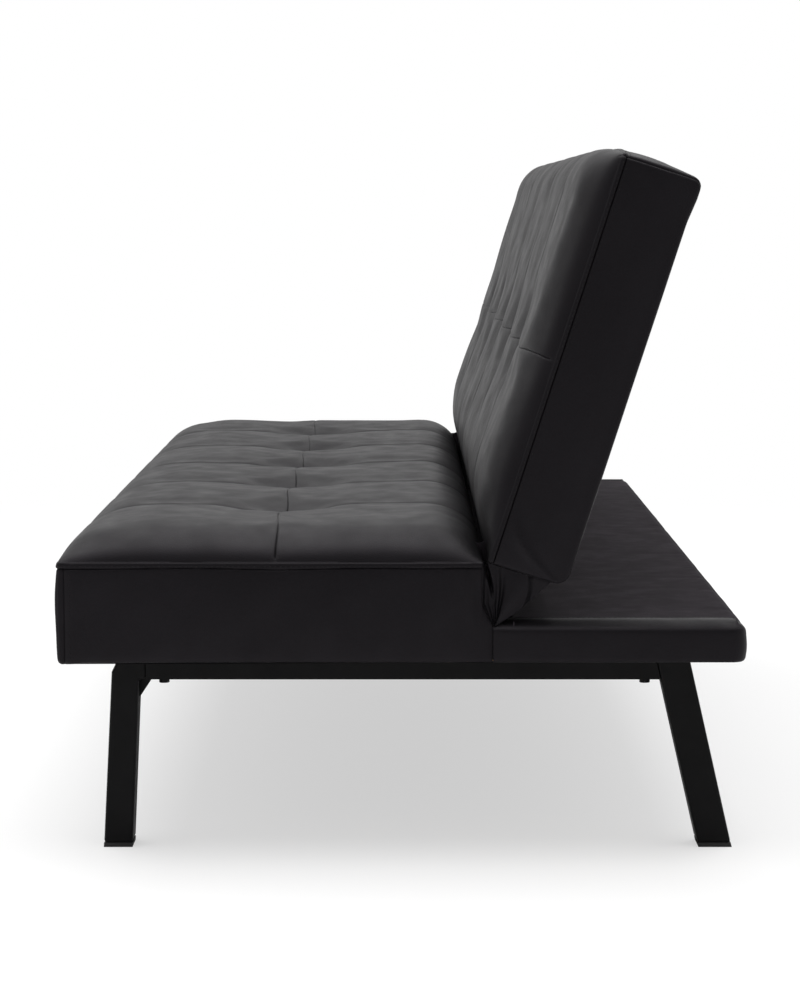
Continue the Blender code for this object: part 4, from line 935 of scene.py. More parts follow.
def build_seat():
    """The seat: tufted_top above its seam and seat_side below it, hollow over the frame, with stitching.

    Thread runs under the top seam and down the seam at each end's front corner.
    """
    s = settings()
    quilt = Quilt(
        width=SEAT_WIDTH,
        crown=s.crown,
        tuft=s.tuft_depth,
        groove=s.groove,
        low_rise=(EDGE_REACH, 0.58),
        high_rise=(0.074, 0.56),
        seed=3,
        corners=(0.0045, 0.0008),
        calm_at=SEAT_WIDTH,
        calm_reach=0.10,
        set_back=0.0055,
    )
    top, rim = quilted_grid(quilt, (-END_SEAM, FRONT_SEAM, SEAM_HEIGHT))
    rings = [seat_side(depth, rim) for depth in seat_depths()]
    turned = [rings[-1] - np.insert(rim.normals * inset, 2, 0.0007, axis=1) for inset in (0.0016, 0.0040)]
    seat = pad("seat_cushion", top, np.stack([*rings, *turned]))
    inside = END_SEAM - SKIN
    hem = SKIN + HEM
    carve(
        seat,
        ((-inside, FRONT_SEAM + SKIN, UNDERSIDE + SKIN), (inside, FOAM_REAR, FOAM_BOTTOM), 0.0028),
        (
            (hem - END_SEAM, FRONT_SEAM + hem, UNDERSIDE - 0.01),
            (END_SEAM - hem, FOAM_REAR, UNDERSIDE + 0.01),
        ),
    )
    dressed(seat, "leather", "base")
    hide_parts("seat_cover", "seat_foam")
    order = open_run(rim.across < SEAT_WIDTH - 0.004)
    facing = np.insert(rim.normals, 2, 0.0, axis=1)[order]
    rows = [(seat_side(0.0046, rim)[order] + facing * THREAD_LIFT, facing)]
    steps = np.linspace(0.011, SEAT_SIDE - 0.004, 40)
    grid = np.stack([seat_side(depth, rim) for depth in steps])
    for side in (-1.0, 1.0):
        on_end = rim.normals[:, 0] * side > 0.9
        place = np.where(on_end, np.abs(rim.across - 0.0125), 9.0).argmin()
        facing = np.tile([side, 0.0, 0.0], (len(steps), 1))
        rows.append((grid[:, place] + facing * THREAD_LIFT, facing))
    dressed(stitches("seat_stitching", rows, s.stitch_pitch), "thread", "base")


# Backrest


def stand_up(obj):
    """Turn a piece of the laid-back backrest up on the hinge, to its place at rest."""
    points = np.empty(len(obj.data.vertices) * 3, np.float32)
    obj.data.vertices.foreach_get("co", points)
    x, v, h = points.reshape(-1, 3).astype(float).T
    turn = math.pi / 2 - BACK_LEAN
    along = v - PIVOT_RISE
    above = h - PIVOT_HEIGHT
    y = PIVOT[0] + along * math.cos(turn) - above * math.sin(turn)
    z = PIVOT[1] + along * math.sin(turn) + above * math.cos(turn)
    obj.data.vertices.foreach_set("co", points_of(x, y, z).astype(np.float32).reshape(-1))
    obj.data.update()


def back_side(depth, rim):
    """Rim points at a depth behind the backrest's front seam, in the backrest's own axes.

    The ends bulge by 4 mm and the top by up to 6 mm beyond its bowed seam, and the foot doesn't. A fold
    runs over the lower end of each side. The rear edge turns in by a quarter circle, and the bow fades
    towards it.
    """
    plan, gx, gy, normals = rim
    near_v = edge_rise(np.minimum(gy, BACK_LENGTH - gy), EDGE_REACH)
    near_x = edge_rise(np.minimum(gx, LENGTH - gx), 0.300)
    on_end = np.abs(normals[:, 0])
    on_top = np.maximum(normals[:, 1], 0.0)
    on_foot = np.maximum(-normals[:, 1], 0.0)
    share = np.interp(depth / BACK_THICKNESS, *BACK_BULGE)
    full = 0.0042 * on_end * near_v + (0.0015 + 0.0045 * near_x) * on_top
    hang = 0.0009 * soft_noise(gx * 1.3 + 3.0, gy * 1.3 + depth * 2.0, 0.20, 47)
    up = 0.0485 - gy
    fold = 0.0042 * bell(depth - 0.0185 - 0.42 * up - 17.8 * up**2, 0.0062) * bell(gy - 0.028, 0.022)
    corner_seam = 0.0011 * bell(on_end - np.abs(normals[:, 1]), 0.30)
    out = full * share + edge_strip(depth, *BACK_STRIP) * (1.0 - on_foot)
    out = out + (hang * min(1.0, depth / 0.02) + fold * on_end) * (1.0 - on_foot)
    left = BACK_THICKNESS - depth
    out = out - corner_seam * min(1.0, depth / 0.002) - turn_in(left, 0.0040) * on_end
    points = np.empty((len(gx), 3))
    points[:, :2] = plan + normals * out[:, None]
    foot = turn_in(left, BACK_FOOT_ROUND)
    head = turn_in(left, HEAD_RADIUS)
    points[:, 1] = foot + points[:, 1] * (BACK_LENGTH - foot - head) / BACK_LENGTH
    behind = unit((depth - 0.030) / (BACK_THICKNESS - 0.030)) ** 1.5
    points[:, 1] = points[:, 1] - 0.0070 * near_x * on_top * behind
    points[:, 2] = left - 0.0026 * unit((gy - 0.440) / 0.030) * unit(1.0 - left / 0.030)
    return points


def back_depths():
    """Depths of the side's rings: close together at the strip beside the seam and at the rear edge."""
    upper = [0.0006, 0.0014, 0.0026, 0.0038, 0.0047, 0.0053, 0.0057, 0.0061, 0.0065, 0.0070]
    middle = np.linspace(0.0155, BACK_THICKNESS - 0.0145, 19)
    lower = [0.0115, 0.0090, 0.0068, 0.0048, 0.0032, 0.0019, 0.0010, 0.0004, 0.0]
    return [*upper, 0.0080, 0.0105, 0.0130, *middle, *[BACK_THICKNESS - left for left in lower]]


def build_backrest():
    """The backrest: tufted_top and back_side, with slots for the hinge arms, stitching and rear cloth.

    Thread runs on both sides of the strip beside the seam, and round the rear's hem.
    """
    s = settings()
    quilt = Quilt(
        width=BACK_LENGTH,
        crown=s.back_crown,
        tuft=s.tuft_depth,
        groove=s.groove,
        low_rise=(EDGE_REACH, 1.2),
        high_rise=(0.056, 0.5),
        seed=11,
        corners=(0.003, 0.005),
        calm_at=0.0,
        calm_reach=0.16,
        bow=0.0105,
    )
    top, rim = quilted_grid(quilt, (-END_SEAM, 0.0, BACK_THICKNESS))
    rings = [back_side(depth, rim) for depth in back_depths()]
    middle = BACK_LENGTH / 2.0
    flat = rings[-1].copy()
    flat[:, 0] = flat[:, 0] * (1.0 - 0.010 / END_SEAM)
    flat[:, 1] = middle + (flat[:, 1] - middle) * (1.0 - 0.010 / middle)
    flat[:, 2] = 0.0
    back = pad("backrest_cushion", top, np.stack([*rings, flat]))
    inside = END_SEAM - 0.003
    slot_low = PIVOT_HEIGHT - SLOT_RADIUS
    slot_high = PIVOT_HEIGHT + SLOT_RADIUS
    carve(
        back,
        ((-inside, FOOT_RADIUS + SKIN, SKIN), (inside, BACK_LENGTH - HEAD_RADIUS - SKIN, BACK_FOAM_BOTTOM)),
        (
            (BACK_HEM - END_SEAM, BACK_HEM, -0.01),
            (END_SEAM - BACK_HEM, BACK_LENGTH - BACK_HEM, SKIN + 0.01),
        ),
        ((SLOT_X[0], -0.02, slot_low), (SLOT_X[1], SLOT_TOP, slot_high)),
        ((-SLOT_X[1], -0.02, slot_low), (-SLOT_X[0], SLOT_TOP, slot_high)),
    )
    stand_up(back)
    dressed(back, "leather", "backrest")
    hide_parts("backrest_cover", "backrest_foam")
    facing = np.insert(rim.normals, 2, 0.0, axis=1)
    order = open_run(rim.across > 0.004)
    rows = []
    for depth in (0.0036, 0.0092):
        rows.append((back_side(depth, rim)[order] + facing[order] * THREAD_LIFT, facing[order]))
    hem = back_side(BACK_THICKNESS, rim) - facing * 0.018
    hem[:, 2] = 2.0 * THREAD_LIFT
    rows.append((hem, np.tile([0.0, 0.0, -1.0], (len(hem), 1))))
    sewn = stitches("backrest_stitching", rows, s.stitch_pitch)
    stand_up(sewn)
    dressed(sewn, "thread", "backrest")
    build_rear_cloth()


def build_rear_cloth():
    """The cloth over the backrest's rear: its outer face sinks by 0.8 mm * sin(pi u) * sin(pi v)."""
    inset = BACK_HEM + 0.0003
    x = np.linspace(inset - END_SEAM, END_SEAM - inset, 160)
    v = np.linspace(inset, BACK_LENGTH - inset, 44)
    gx, gv = grid_of(x, v)
    sink = (0.0008 + 0.00025 * soft_noise(gx, gv, 0.11, 5)) * dome(gx, gv)
    outer = points_of(gx, gv, 0.0003 + sink)
    inner = points_of(gx, gv, 0.0012 + sink * 0.4)
    cloth = shell("backrest_rear_cloth", outer[:, ::-1], inner[:, ::-1])
    stand_up(cloth)
    dressed(cloth, "lining", "backrest")
    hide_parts("backrest_rear_panel")


# Ledge


def ledge_path():
    """Along the ledge's outer edge, from its front right round the rear to its front left.

    Returns each place's arc centre, normal and angle. A point at inset s lies at
    centre + normal * (radius - s), with straight runs whose centre moves along.
    """
    x = LEDGE_END - LEDGE_CORNER
    y = LEDGE_REAR - LEDGE_CORNER
    side = np.linspace(LEDGE_FRONT, y, 34)[:-1]
    rear = np.linspace(x, -x, 190)[1:-1]
    turn = np.radians(np.linspace(0.0, 90.0, 19))
    centre = np.concatenate(
        [
            points_of(x, side),
            np.tile([x, y], (len(turn), 1)),
            points_of(rear, y),
            np.tile([-x, y], (len(turn), 1)),
            points_of(-x, side[::-1]),
        ]
    )
    quarter = math.pi / 2
    straight = np.ones(len(side))
    angle = np.concatenate(
        [0.0 * straight, turn, np.full(len(rear), quarter), turn + quarter, math.pi * straight]
    )
    return centre, points_of(np.cos(angle), np.sin(angle)), angle


def ledge_at(inset, rear_inset, centre, normal):
    """Plan points at an inset from the outer edge, which differs between the ends and the rear.

    The outline there is a rectangle whose corners stay round, down to a radius of 0.6 mm.
    """
    kept = max(LEDGE_CORNER - max(inset, rear_inset), 0.0006)
    x = LEDGE_END - inset - kept
    y = LEDGE_REAR - rear_inset - kept
    at_end = np.abs(centre[:, 0]) > LEDGE_END - LEDGE_CORNER - 1e-6
    at_rear = centre[:, 1] > LEDGE_REAR - LEDGE_CORNER - 1e-6
    base_x = np.where(at_end, np.sign(centre[:, 0]) * x, np.clip(centre[:, 0], -x, x))
    base_y = np.where(at_rear, y, np.minimum(centre[:, 1], y))
    return points_of(base_x, base_y) + normal * kept


def inset_at_rear(inset):
    """The rim's inset along the rear. It follows that of the ends for 8 mm, and then it is narrower."""
    return inset if inset <= 0.008 else 0.008 + (inset - 0.008) * 0.16


def ledge_section():
    """The ledge covering's section as (inset from the outer edge, height) pairs, round from the hem."""
    low = UNDERSIDE
    high = LEDGE_TOP
    r = LEDGE_TOP_RADIUS
    t = SKIN
    hem = 0.0305
    bottom = np.radians([20, 45, 70, 90])
    top = np.radians([9, 18, 27, 36, 45, 54, 62, 69, 76, 83, 90])
    outer = [(hem, low), (0.020, low), (0.010, low), (0.0046, low)]
    outer += [(0.004 * (1 - math.sin(a)), low + 0.004 * (1 - math.cos(a))) for a in bottom]
    outer += [(0.0, z) for z in np.linspace(low + 0.007, high - r, 8)]
    outer += [(2 * r * (1 - math.cos(a)), high - r + r * math.sin(a)) for a in top]
    outer += [(s, high) for s in (0.0265, 0.0285, 0.0305, SEWN_INSET, 0.0340, 0.0352, 0.0364, 0.0376)]
    outer += [(LEDGE_RIM, high - 0.0003), (LEDGE_RIM + 0.0003, high - 0.0009)]
    inner = [(LEDGE_RIM, high - t), (0.030, high - t)]
    turn = np.radians([90, 60, 30, 0])
    inner += [(2 * r - (2 * r - t) * math.cos(a), high - r + (r - t) * math.sin(a)) for a in turn]
    inner += [(t, z) for z in (0.262, 0.252, 0.244)]
    inner += [(0.0045, low + t), (0.012, low + t), (hem, low + t)]
    return outer, inner


def ledge_cover_sections(centre, normal, angle):
    """The covering's section at each place: bulged sides, a swollen rim, sewn grooves and a lap.

    At each rear corner the end's leather laps over the rear's along the mitre. Along the rear the top
    lies lower, under the cloth that runs over it.
    """
    outer, inner = ledge_section()
    quarter = math.pi / 2
    run = np.concatenate([[0.0], np.cumsum(np.linalg.norm(np.diff(centre, axis=0), axis=1))])
    run = run + LEDGE_CORNER * angle
    signed = np.where(angle < quarter, angle - quarter / 2, angle - 1.5 * quarter)
    corner = (angle > 1e-6) & (angle < math.pi - 1e-6) & (np.abs(angle - quarter) > 1e-6)
    lap = 0.5 * np.tanh(signed / 0.09) - 0.9 * bell(signed, 0.10)
    sections = []
    for k, (inset, z) in enumerate([*outer, *inner]):
        narrow = inset_at_rear(inset) if z > LEDGE_TOP - 0.012 else inset
        plan = ledge_at(inset, narrow, centre, normal)
        height = np.full(len(centre), z)
        if k < len(outer):
            wave = soft_noise(run, np.full_like(run, z * 2.0 + inset), 0.17, 71)
            side = math.sin(math.pi * unit((z - UNDERSIDE) / (LEDGE_TOP - UNDERSIDE)))
            full = 0.0007 + 0.0016 * np.maximum(normal[:, 1], 0.0)
            plan = plan + normal * (full * side * (1.0 + 0.6 * wave))[:, None]
            if z > LEDGE_TOP - 0.002 and inset < LEDGE_RIM:
                pillow = 0.0002 * math.sin(math.pi * unit((inset - 0.004) / 0.0345))
                height = height + pillow * (0.6 + 0.4 * wave) - 0.0008 * bell(inset - 0.0346, 0.0011)
            if z > UNDERSIDE + 0.008 and inset < LEDGE_RIM:
                height = height + np.where(corner, 0.0006 * lap * min(1.0, inset / 0.006), 0.0)
        under = unit((RIM_X + 0.006 - np.abs(plan[:, 0])) / 0.010)
        under = under * (np.abs(angle - quarter) < 1e-6) * max(0.0, 1.0 - (LEDGE_TOP - z) / 0.010)
        sections.append(points_of(plan[:, 0], plan[:, 1], height - CLOTH_SINK * under))
    return np.stack(sections, axis=1)


def build_ledge():
    """The ledge: its leather, swept round three sides, and its cloths."""
    centre, normal, angle = ledge_path()
    sections = ledge_cover_sections(centre, normal, angle)
    cover = swept("ledge_cushion", sections)
    dressed(cover, "leather", "base")
    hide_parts("ledge_cover")
    sewn_place = [point[0] for point in ledge_section()[0]].index(SEWN_INSET)
    up = np.tile([0.0, 0.0, 1.0], (len(centre), 1))
    rows = [(sections[:, sewn_place] - up * THREAD_LIFT, up)]
    dressed(stitches("ledge_stitching", rows, settings().stitch_pitch), "thread", "base")
    build_ledge_pad()
    build_rear_edge()
    build_ledge_front()


def cloth_height(gx, gy):
    """Height of the ledge's cloth inside the leather rim: 283.2 mm + a swell + unevenness - gathers.

    The swell is 0.5 mm * (sin(pi u) * sin(pi v))^0.5. Each gather is a short groove from the rear edge.
    """
    u = unit((gx + RIM_X) / (2 * RIM_X))
    v = unit((gy - DECK_FRONT) / (LEDGE_REAR - DECK_FRONT))
    swell = 0.0005 * np.sin(math.pi * u) ** 0.5 * np.sin(math.pi * v) ** 0.5
    uneven = 0.00025 * soft_noise(gx, gy, 0.09, 8)
    to_rear = LEDGE_REAR - gy
    gathers = np.zeros_like(gx)
    for place, reach in np.random.default_rng(21).uniform(0.0, 1.0, (17, 2)):
        centre = (2.0 * place - 1.0) * RIM_X + 0.10 * (reach - 0.5) * to_rear
        gathers = gathers + bell(gx - centre, 0.0055) * bell(to_rear, 0.030 + 0.050 * reach)
    return LEDGE_TOP - SKIN + 0.0007 + swell + uneven - 0.0009 * gathers


def build_ledge_pad():
    """The thin pad on the deck under matte cloth: flat under the leather rim and raised inside it."""
    end = LEDGE_END - SKIN - 0.0004
    rear = LEDGE_REAR - SKIN - 0.0004
    rim_y = LEDGE_REAR - inset_at_rear(LEDGE_RIM)
    x = crowded(-end, end, [-RIM_X, RIM_X], 0.0007, 0.2, 0.011)
    y = crowded(DECK_FRONT, rear, [rim_y], 0.0007, 0.2, 0.009)
    gx, gy = grid_of(x, y)
    step = unit(0.5 + (np.minimum(RIM_X - np.abs(gx), rim_y - gy) - 0.0006) / 0.0012)
    under = unit((RIM_X + 0.006 - np.abs(gx)) / 0.010) * (gy > rim_y - 0.001)
    low = LEDGE_TOP - SKIN - 0.0003 - CLOTH_SINK * under
    height = low + step * (cloth_height(gx, gy) - low)
    plan = rounded_plan(points_of(gx, gy), (-end, DECK_FRONT - 0.1), (end, rear), (0.010, 0.010))[0]
    edge = 0.0125
    into = np.clip(edge - np.minimum(end - np.abs(gx), rear - gy), 0.0, edge)
    drop = edge - np.sqrt(np.maximum(edge**2 - into**2, 0.0))
    top = points_of(plan[..., 0], plan[..., 1], np.maximum(height - drop, DECK_TOP + 0.0012))
    foot = top[rim_of(len(x), len(y))]
    foot[:, 2] = DECK_TOP + 0.0003
    piece = pad("ledge_top_pad", top, foot[None])
    dressed(piece, "cloth", "base")
    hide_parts("ledge_top_fabric", "ledge_padding")


def build_rear_edge():
    """The cloth where it runs on over the ledge's rear edge, a quarter ellipse 15 mm by 13 mm down.

    Over its last 14 mm at each end it sinks into the leather of the corner.
    """
    start = REAR_CLOTH_START
    x = crowded(-RIM_X - 0.002, RIM_X + 0.002, [], 0.0012, 0.2, 0.0065)
    flat = start - np.array([0.0140, 0.0115, 0.0090, 0.0065, 0.0040, 0.0020])
    turn = np.radians(np.linspace(0.0, 87.0, 18))
    y = np.concatenate([flat, start + 0.0150 * np.sin(turn)])
    drop = np.concatenate([np.zeros(len(flat)), 0.0130 * (1.0 - np.cos(turn))])
    gx, gy = grid_of(x, y)
    near_end = unit((np.abs(gx) - RIM_X + 0.012) / 0.014) ** 2
    lift = 0.0006 * unit((gy - flat[0]) / 0.010) - 0.0003
    out = unit((gy - start) / 0.015)
    z = cloth_height(gx, gy) + lift - drop - near_end * (0.0016 + 0.0020 * out)
    outer = points_of(gx, gy - 0.0028 * near_end * out, z)
    edge = shell("ledge_rear_cloth", outer, sunk(outer, np.full(gx.shape, 0.0008)))
    dressed(edge, "cloth", "base")


def build_ledge_front():
    """The cloth that wraps the deck's front edge, and the lining over the slot in front of it.

    The lining's height is 270.2 mm - 0.5 mm * sin(pi u) * sin(pi v), and its first 3.6 mm curve up to
    close the slit under the seat.
    """
    x = np.linspace(-0.8350, 0.8350, 120)
    y = np.array([0.1303, 0.1291, 0.1289, 0.1291, 0.1297, 0.1303])
    z = np.array([0.2690, 0.2690, 0.2760, 0.2822, 0.2834, 0.2837])
    loose = np.array([0, 1, 1, 1, 0, 0])
    uneven = 0.0003 * soft_noise(x, x * 0.0, 0.12, 61)[:, None]
    band = swept("ledge_front_band", points_of(x[:, None], y - uneven * loose, z))
    dressed(band, "cloth", "base")
    front = 0.1030
    width = 0.0256
    spans = (("left", -0.8345, -0.8008), ("middle", -0.7890, 0.7890), ("right", 0.8008, 0.8345))
    for name, low, high in spans:
        across = np.linspace(low, high, max(8, round((high - low) / 0.02)))
        gx, gy = grid_of(across, np.linspace(front, front + width, 22))
        lip = 0.0021 * unit(1.0 - (gy - front) / (0.14 * width)) ** 2
        gz = 0.2702 - 0.0005 * dome(gx, gy) + lip
        lining = shell(f"slot_lining_{name}", points_of(gx, gy, gz), points_of(gx, gy, gz - 0.0009))
        dressed(lining, "lining", "base")
    for name, side in (("left", -1.0), ("right", 1.0)):
        gy, gz = grid_of(np.linspace(0.1000, 0.1125, 6), np.linspace(0.2405, 0.2772, 12))
        bulge = 0.00005 * np.sin(math.pi * (gy - 0.1000) / 0.0125)
        outer = points_of(side * (0.83438 + bulge), gy, gz)
        inner = points_of(side * (0.83412 + bulge), gy, gz)
        dressed(shell(f"joint_tape_{name}", outer, inner), "lining", "base")


# End gussets


def gusset_grid(side, depth):
    """Points of the pleated fan between seat, ledge and backrest, at a depth inside its outer face.

    Along each ray, at the share t round the fan, a point lies at the share r of the way from the apex to
    the backrest's foot, and the first rays bend round the seat's flared edge. Folds run along the rays:
    each is height * exp(-((t - place) / width)^2).
    """
    t = np.linspace(0.0, 1.0, 101)[:, None]
    r = np.linspace(0.04, 1.0, 45)[None, :]
    down = 1.0 - r
    place = -0.0066 + 0.0821 * t
    top_y = BACK_FOOT[0] + math.cos(BACK_LEAN) * place
    top_z = BACK_FOOT[1] - math.sin(BACK_LEAN) * place - 0.0008 / math.cos(BACK_LEAN)
    apex_y = SEAT_REAR + SEAT_FLARE + 0.0002
    apex_z = 0.2780
    bend = (FLARE_TOP - apex_z) / (BACK_FOOT[1] - apex_z)
    bow = 0.0083 * np.where(r < bend, r / bend, down / (1.0 - bend)) * (1.0 - t) ** 2
    y = apex_y + (top_y - apex_y) * r - bow
    z = apex_z + (top_z - apex_z) * r - 0.0040 * np.sin(math.pi * r) * t**2
    folds = -0.0090 * bell(t - 0.030 - 0.40 * down, 0.030) * unit((r - 0.48) / 0.22)
    for height, start, lean, power, width in GUSSET_FOLDS:
        folds = folds + height * bell(t - start - lean * down**power, width)
    hem = 1.0 - 0.34 * unit((r - 0.5) / 0.5)
    folds = folds - 0.0090 * unit((t - hem) / 0.09) ** 0.8
    held = 0.45 + 0.55 * np.sin(math.pi * np.clip(r, 0.04, 0.96)) ** 0.6
    x = GUSSET_FACE + 0.0012 + np.where(t < 0.05, folds, folds * held) + 0.0050 * down**3 - depth
    return points_of(side * x, y, z)


def build_crease_shade_sheets():
    """A dark lining sheet near each end: painted shade that closes the crease between seat and backrest.

    Point (w, h) is left(h) * (1 - w) + right(h) * w, less a sag of 3 mm * h * sin(pi w), and the sheet
    bows inwards by 4 mm * sin(pi w).
    """
    h = np.linspace(0.0, 1.0, 15)[:, None]
    w = np.linspace(0.0, 1.0, 31)[None, :]
    curve = np.sin(math.pi * w)
    left_y = np.interp(h, [0.0, 0.45, 0.75, 1.0], [0.0925, 0.0915, 0.0880, 0.0800])
    y = left_y * (1.0 - w) + 0.1040 * w
    z = (0.335 + 0.0340 * h) * (1.0 - w) + (0.338 + 0.0345 * h) * w - 0.0030 * h * curve
    for name, side in (("left", -1.0), ("right", 1.0)):
        outer = points_of(side * (0.7800 - 0.0040 * curve * (1.0 - 0.5 * h)), y, z)
        shade_sheet = shell(f"crease_shade_sheet_{name}", outer, outer - np.array([side * 0.0010, 0.0, 0.0]))
        # the dark lining here is painted shade: it darkens the crease and hides the white floor beyond
        dressed(shade_sheet, "lining")
        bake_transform(shade_sheet)


def build_gussets():
    """The fold between seat and backrest at each end, and the dark sheet of painted shade in its crease."""
    build_crease_shade_sheets()
    for name, side in (("left", -1), ("right", 1)):
        piece = shell(f"end_gusset_cloth_{name}", gusset_grid(side, 0.0), gusset_grid(side, SKIN))
        dressed(piece, "leather")
        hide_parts(f"end_gusset_{name}")
        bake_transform(piece)


# Underside and frame


def build_underside():
    """The dust cover: it sags by 2.5 mm * sin(pi u) * sin(pi v) between its stapled edges."""
    x = np.linspace(-DUST_X, DUST_X, 150)
    y = np.linspace(DUST_Y[0], DUST_Y[1], 80)
    gx, gy = grid_of(x, y)
    u = shares(gx)
    v = shares(gy)
    inside = unit(np.minimum(np.minimum(u, 1 - u) * 8.0, np.minimum(v, 1 - v) * 6.0))
    sag = 0.0025 * dome(gx, gy) + 0.0004 * soft_noise(gx, gy, 0.10, 15) * inside
    top = points_of(gx, gy, DUST_TOP - 0.0001 - sag)
    low = points_of(gx, gy, DUST_TOP - 0.0010 - sag)
    cloth = shell("dust_cover_cloth", top, low)
    dressed(cloth, "lining", "base")
    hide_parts("bottom_dust_cover")


def frame_material(name):
    """The finish of a CAD node by what it is."""
    if name.startswith(("seat_spring", "backrest_spring")):
        return "steel"
    if "hinge" in name or "pivot" in name or "pawl" in name:
        return "dark_steel"
    if "cap" in name:
        return "plastic"
    if "leg" in name or "crossbar" in name or "bolt" in name:
        return "metal"
    return "timber"


def finish_frame():
    """Give every CAD node the material of what it is."""
    for name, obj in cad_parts.items():
        if not obj.material_slots:
            obj.data.materials.append(None)
        chosen = material(frame_material(name))
        for slot in obj.material_slots:
            slot.link = "OBJECT"
            slot.material = chosen


# Stage


def area_light(name, place, size, power):
    """A rectangular light that points straight down."""
    data = bpy.data.lights.new(name, "AREA")
    data.shape = "RECTANGLE"
    data.size, data.size_y = size
    data.energy = power
    obj = bpy.data.objects.new(name, data)
    bpy.context.scene.collection.objects.link(obj)
    obj.location = place
    obj.rotation_euler = (0.0, 0.0, -math.pi / 2)


def build_floor():
    """A white floor. To the camera it is 0.55 plain white and 0.45 lit surface, so its shadows stay soft.

    From 1.3 m to 3.2 m away from the sofa's middle the plain white takes over.
    """
    n = Finish("studio_floor")
    tone = n.tones(n.noise(0.7, 2.0), (1.0, 1.0, 1.0), (0.3, 0.93), (0.7, 0.95))
    gloss = n.spread(n.noise(2.0), 0.9, 0.95)
    n.finish(tone, gloss, n.bump(n.noise(3.0), 0.0001, 0.05), Specular_IOR_Level=0.0)
    away = n.add("ShaderNodeVectorMath", operation="LENGTH")
    n.link(n.place, away.inputs[0])
    plain = n.spread(away.outputs["Value"], 0.55, 1.0, 1.3, 3.2)
    seen = n.add("ShaderNodeLightPath").outputs["Is Camera Ray"]
    glow = n.add("ShaderNodeEmission", Strength=1.0).outputs["Emission"]
    output = n.tree.nodes["Material Output"]
    n.show(n.maths("MULTIPLY", seen, plain), n.shader.outputs["BSDF"], glow, output)
    reach = 14.0
    corners = [(-reach, -reach, 0.0), (reach, -reach, 0.0), (reach, reach, 0.0), (-reach, reach, 0.0)]
    floor = mesh_object("studio_floor", corners, [(0, 1, 2, 3)])
    floor.data.materials.append(n.material)


def build_world():
    """White to the camera, and plain white light from all round that is weaker from the camera's side."""
    world = bpy.data.worlds.new("studio")
    world.use_nodes = True
    world.node_tree.nodes.clear()
    n = Nodes(world.node_tree)
    white = (1.0, 1.0, 1.0, 1.0)
    room = n.add("ShaderNodeBackground", Color=white)
    plain = n.add("ShaderNodeBackground", Color=white, Strength=1.0)
    parts = n.add("ShaderNodeSeparateXYZ")
    n.link(n.places["Generated"], parts.inputs["Vector"])
    n.link(n.spread(parts.outputs["X"], 0.90, 0.28, 0.1, 1.0), room.inputs["Strength"])
    rays = n.add("ShaderNodeLightPath").outputs
    seen = n.maths("MAXIMUM", rays["Is Camera Ray"], rays["Is Transmission Ray"])
    output = n.add("ShaderNodeOutputWorld")
    n.show(seen, room.outputs["Background"], plain.outputs["Background"], output)
    bpy.context.scene.world = world


def build_stage():
    """The floor, the surroundings, one large soft light overhead, and the photograph's camera."""
    scene = bpy.context.scene
    scene.view_settings.view_transform = "Standard"
    build_floor()
    build_world()
    area_light("key_light", (0.2, -0.3, 3.4), (3.6, 5.2), 124.0)
    data = bpy.data.cameras.new("camera")
    data.sensor_fit = "VERTICAL"
    data.sensor_height = SENSOR_HEIGHT
    data.lens = FOCAL_LENGTH * SENSOR_HEIGHT
    data.clip_start = 0.1
    data.clip_end = 100.0
    camera = bpy.data.objects.new("camera", data)
    scene.collection.objects.link(camera)
    camera.location = CAMERA_PLACE
    camera.rotation_euler = (math.radians(90.0 - CAMERA_PITCH), 0.0, math.radians(90.0))
    scene.camera = camera


# Operators and panel


class SofaBuilder:
    """What every step's operator does: run its build, and stop the script if it fails."""

    bl_options = {"REGISTER", "UNDO"}

    def execute(self, context):
        self.build()
        context.view_layer.update()
        return {"FINISHED"}


class SOFA_OT_stage(SofaBuilder, bpy.types.Operator):
    """Add the floor, the lights, the white surroundings and the camera"""

    bl_idname = "sofa.stage"
    bl_label = "Build Stage"
    build = staticmethod(build_stage)


class SOFA_OT_seat(SofaBuilder, bpy.types.Operator):
    """Build the tufted seat cushion and its stitching"""

    bl_idname = "sofa.seat"
    bl_label = "Build Seat"
    build = staticmethod(build_seat)


class SOFA_OT_backrest(SofaBuilder, bpy.types.Operator):
    """Build the tufted backrest, its stitching and its rear cloth"""

    bl_idname = "sofa.backrest"
    bl_label = "Build Backrest"
    build = staticmethod(build_backrest)


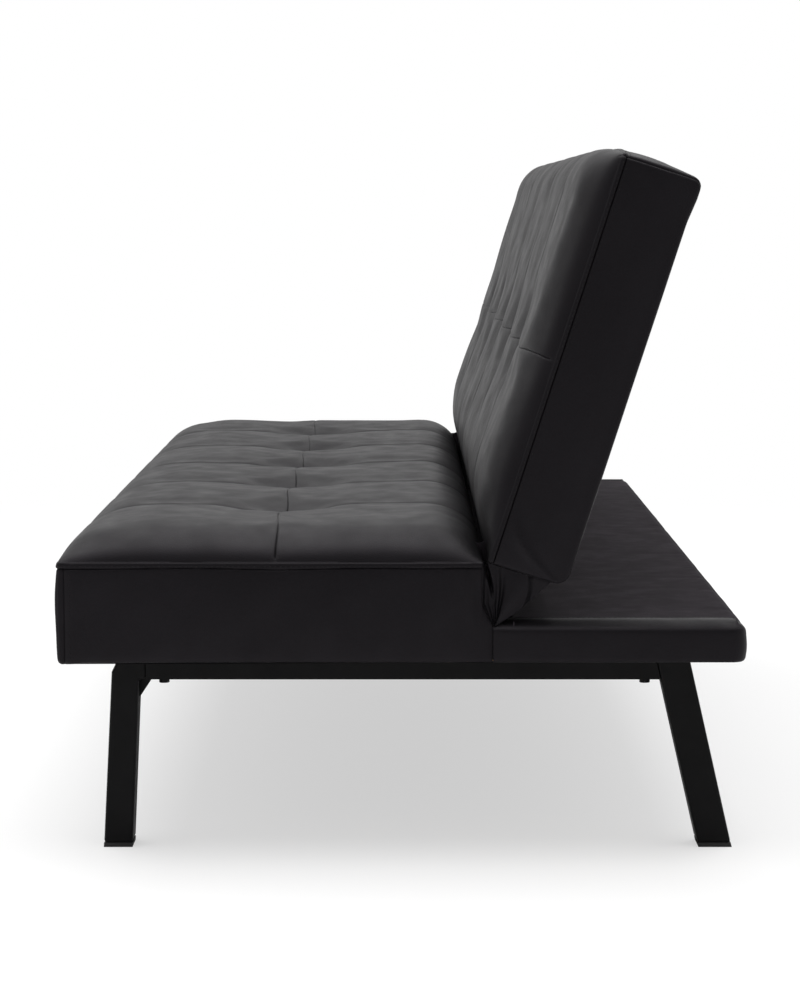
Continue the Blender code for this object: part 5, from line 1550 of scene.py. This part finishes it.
class SOFA_OT_ledge(SofaBuilder, bpy.types.Operator):
    """Build the rear ledge's leather covering and its cloth top"""

    bl_idname = "sofa.ledge"
    bl_label = "Build Ledge"
    build = staticmethod(build_ledge)


class SOFA_OT_gussets(SofaBuilder, bpy.types.Operator):
    """Build the pleated gussets at both ends"""

    bl_idname = "sofa.gussets"
    bl_label = "Build End Gussets"
    build = staticmethod(build_gussets)


class SOFA_OT_underside(SofaBuilder, bpy.types.Operator):
    """Build the dust cover under the base"""

    bl_idname = "sofa.underside"
    bl_label = "Build Dust Cover"
    build = staticmethod(build_underside)


class SOFA_OT_frame(SofaBuilder, bpy.types.Operator):
    """Give the rails, springs, hinges and leg frames their materials"""

    bl_idname = "sofa.frame"
    bl_label = "Finish Frame"
    build = staticmethod(finish_frame)


class VIEW3D_PT_sofa_bed(bpy.types.Panel):
    """The sofa bed's settings and building steps"""

    bl_label = "Sofa Bed"
    bl_space_type = "VIEW_3D"
    bl_region_type = "UI"
    bl_category = "Sofa Bed"

    def draw(self, context):
        for name in SofaSettings.__annotations__:
            self.layout.prop(context.scene.sofa_bed, name)
        for step in STEPS:
            self.layout.operator(step.bl_idname)


STEPS = (
    SOFA_OT_stage,
    SOFA_OT_seat,
    SOFA_OT_backrest,
    SOFA_OT_ledge,
    SOFA_OT_gussets,
    SOFA_OT_underside,
    SOFA_OT_frame,
)


def register():
    for cls in (SofaSettings, *STEPS, VIEW3D_PT_sofa_bed):
        bpy.utils.register_class(cls)
    bpy.types.Scene.sofa_bed = bpy.props.PointerProperty(type=SofaSettings)


def unregister():
    del bpy.types.Scene.sofa_bed
    for cls in (VIEW3D_PT_sofa_bed, *reversed(STEPS), SofaSettings):
        bpy.utils.unregister_class(cls)


def main():
    register()
    bpy.ops.sofa.stage()
    bpy.ops.sofa.seat()
    bpy.ops.sofa.backrest()
    bpy.ops.sofa.ledge()
    bpy.ops.sofa.gussets()
    bpy.ops.sofa.underside()
    bpy.ops.sofa.frame()


if __name__ == "__main__":
    main()
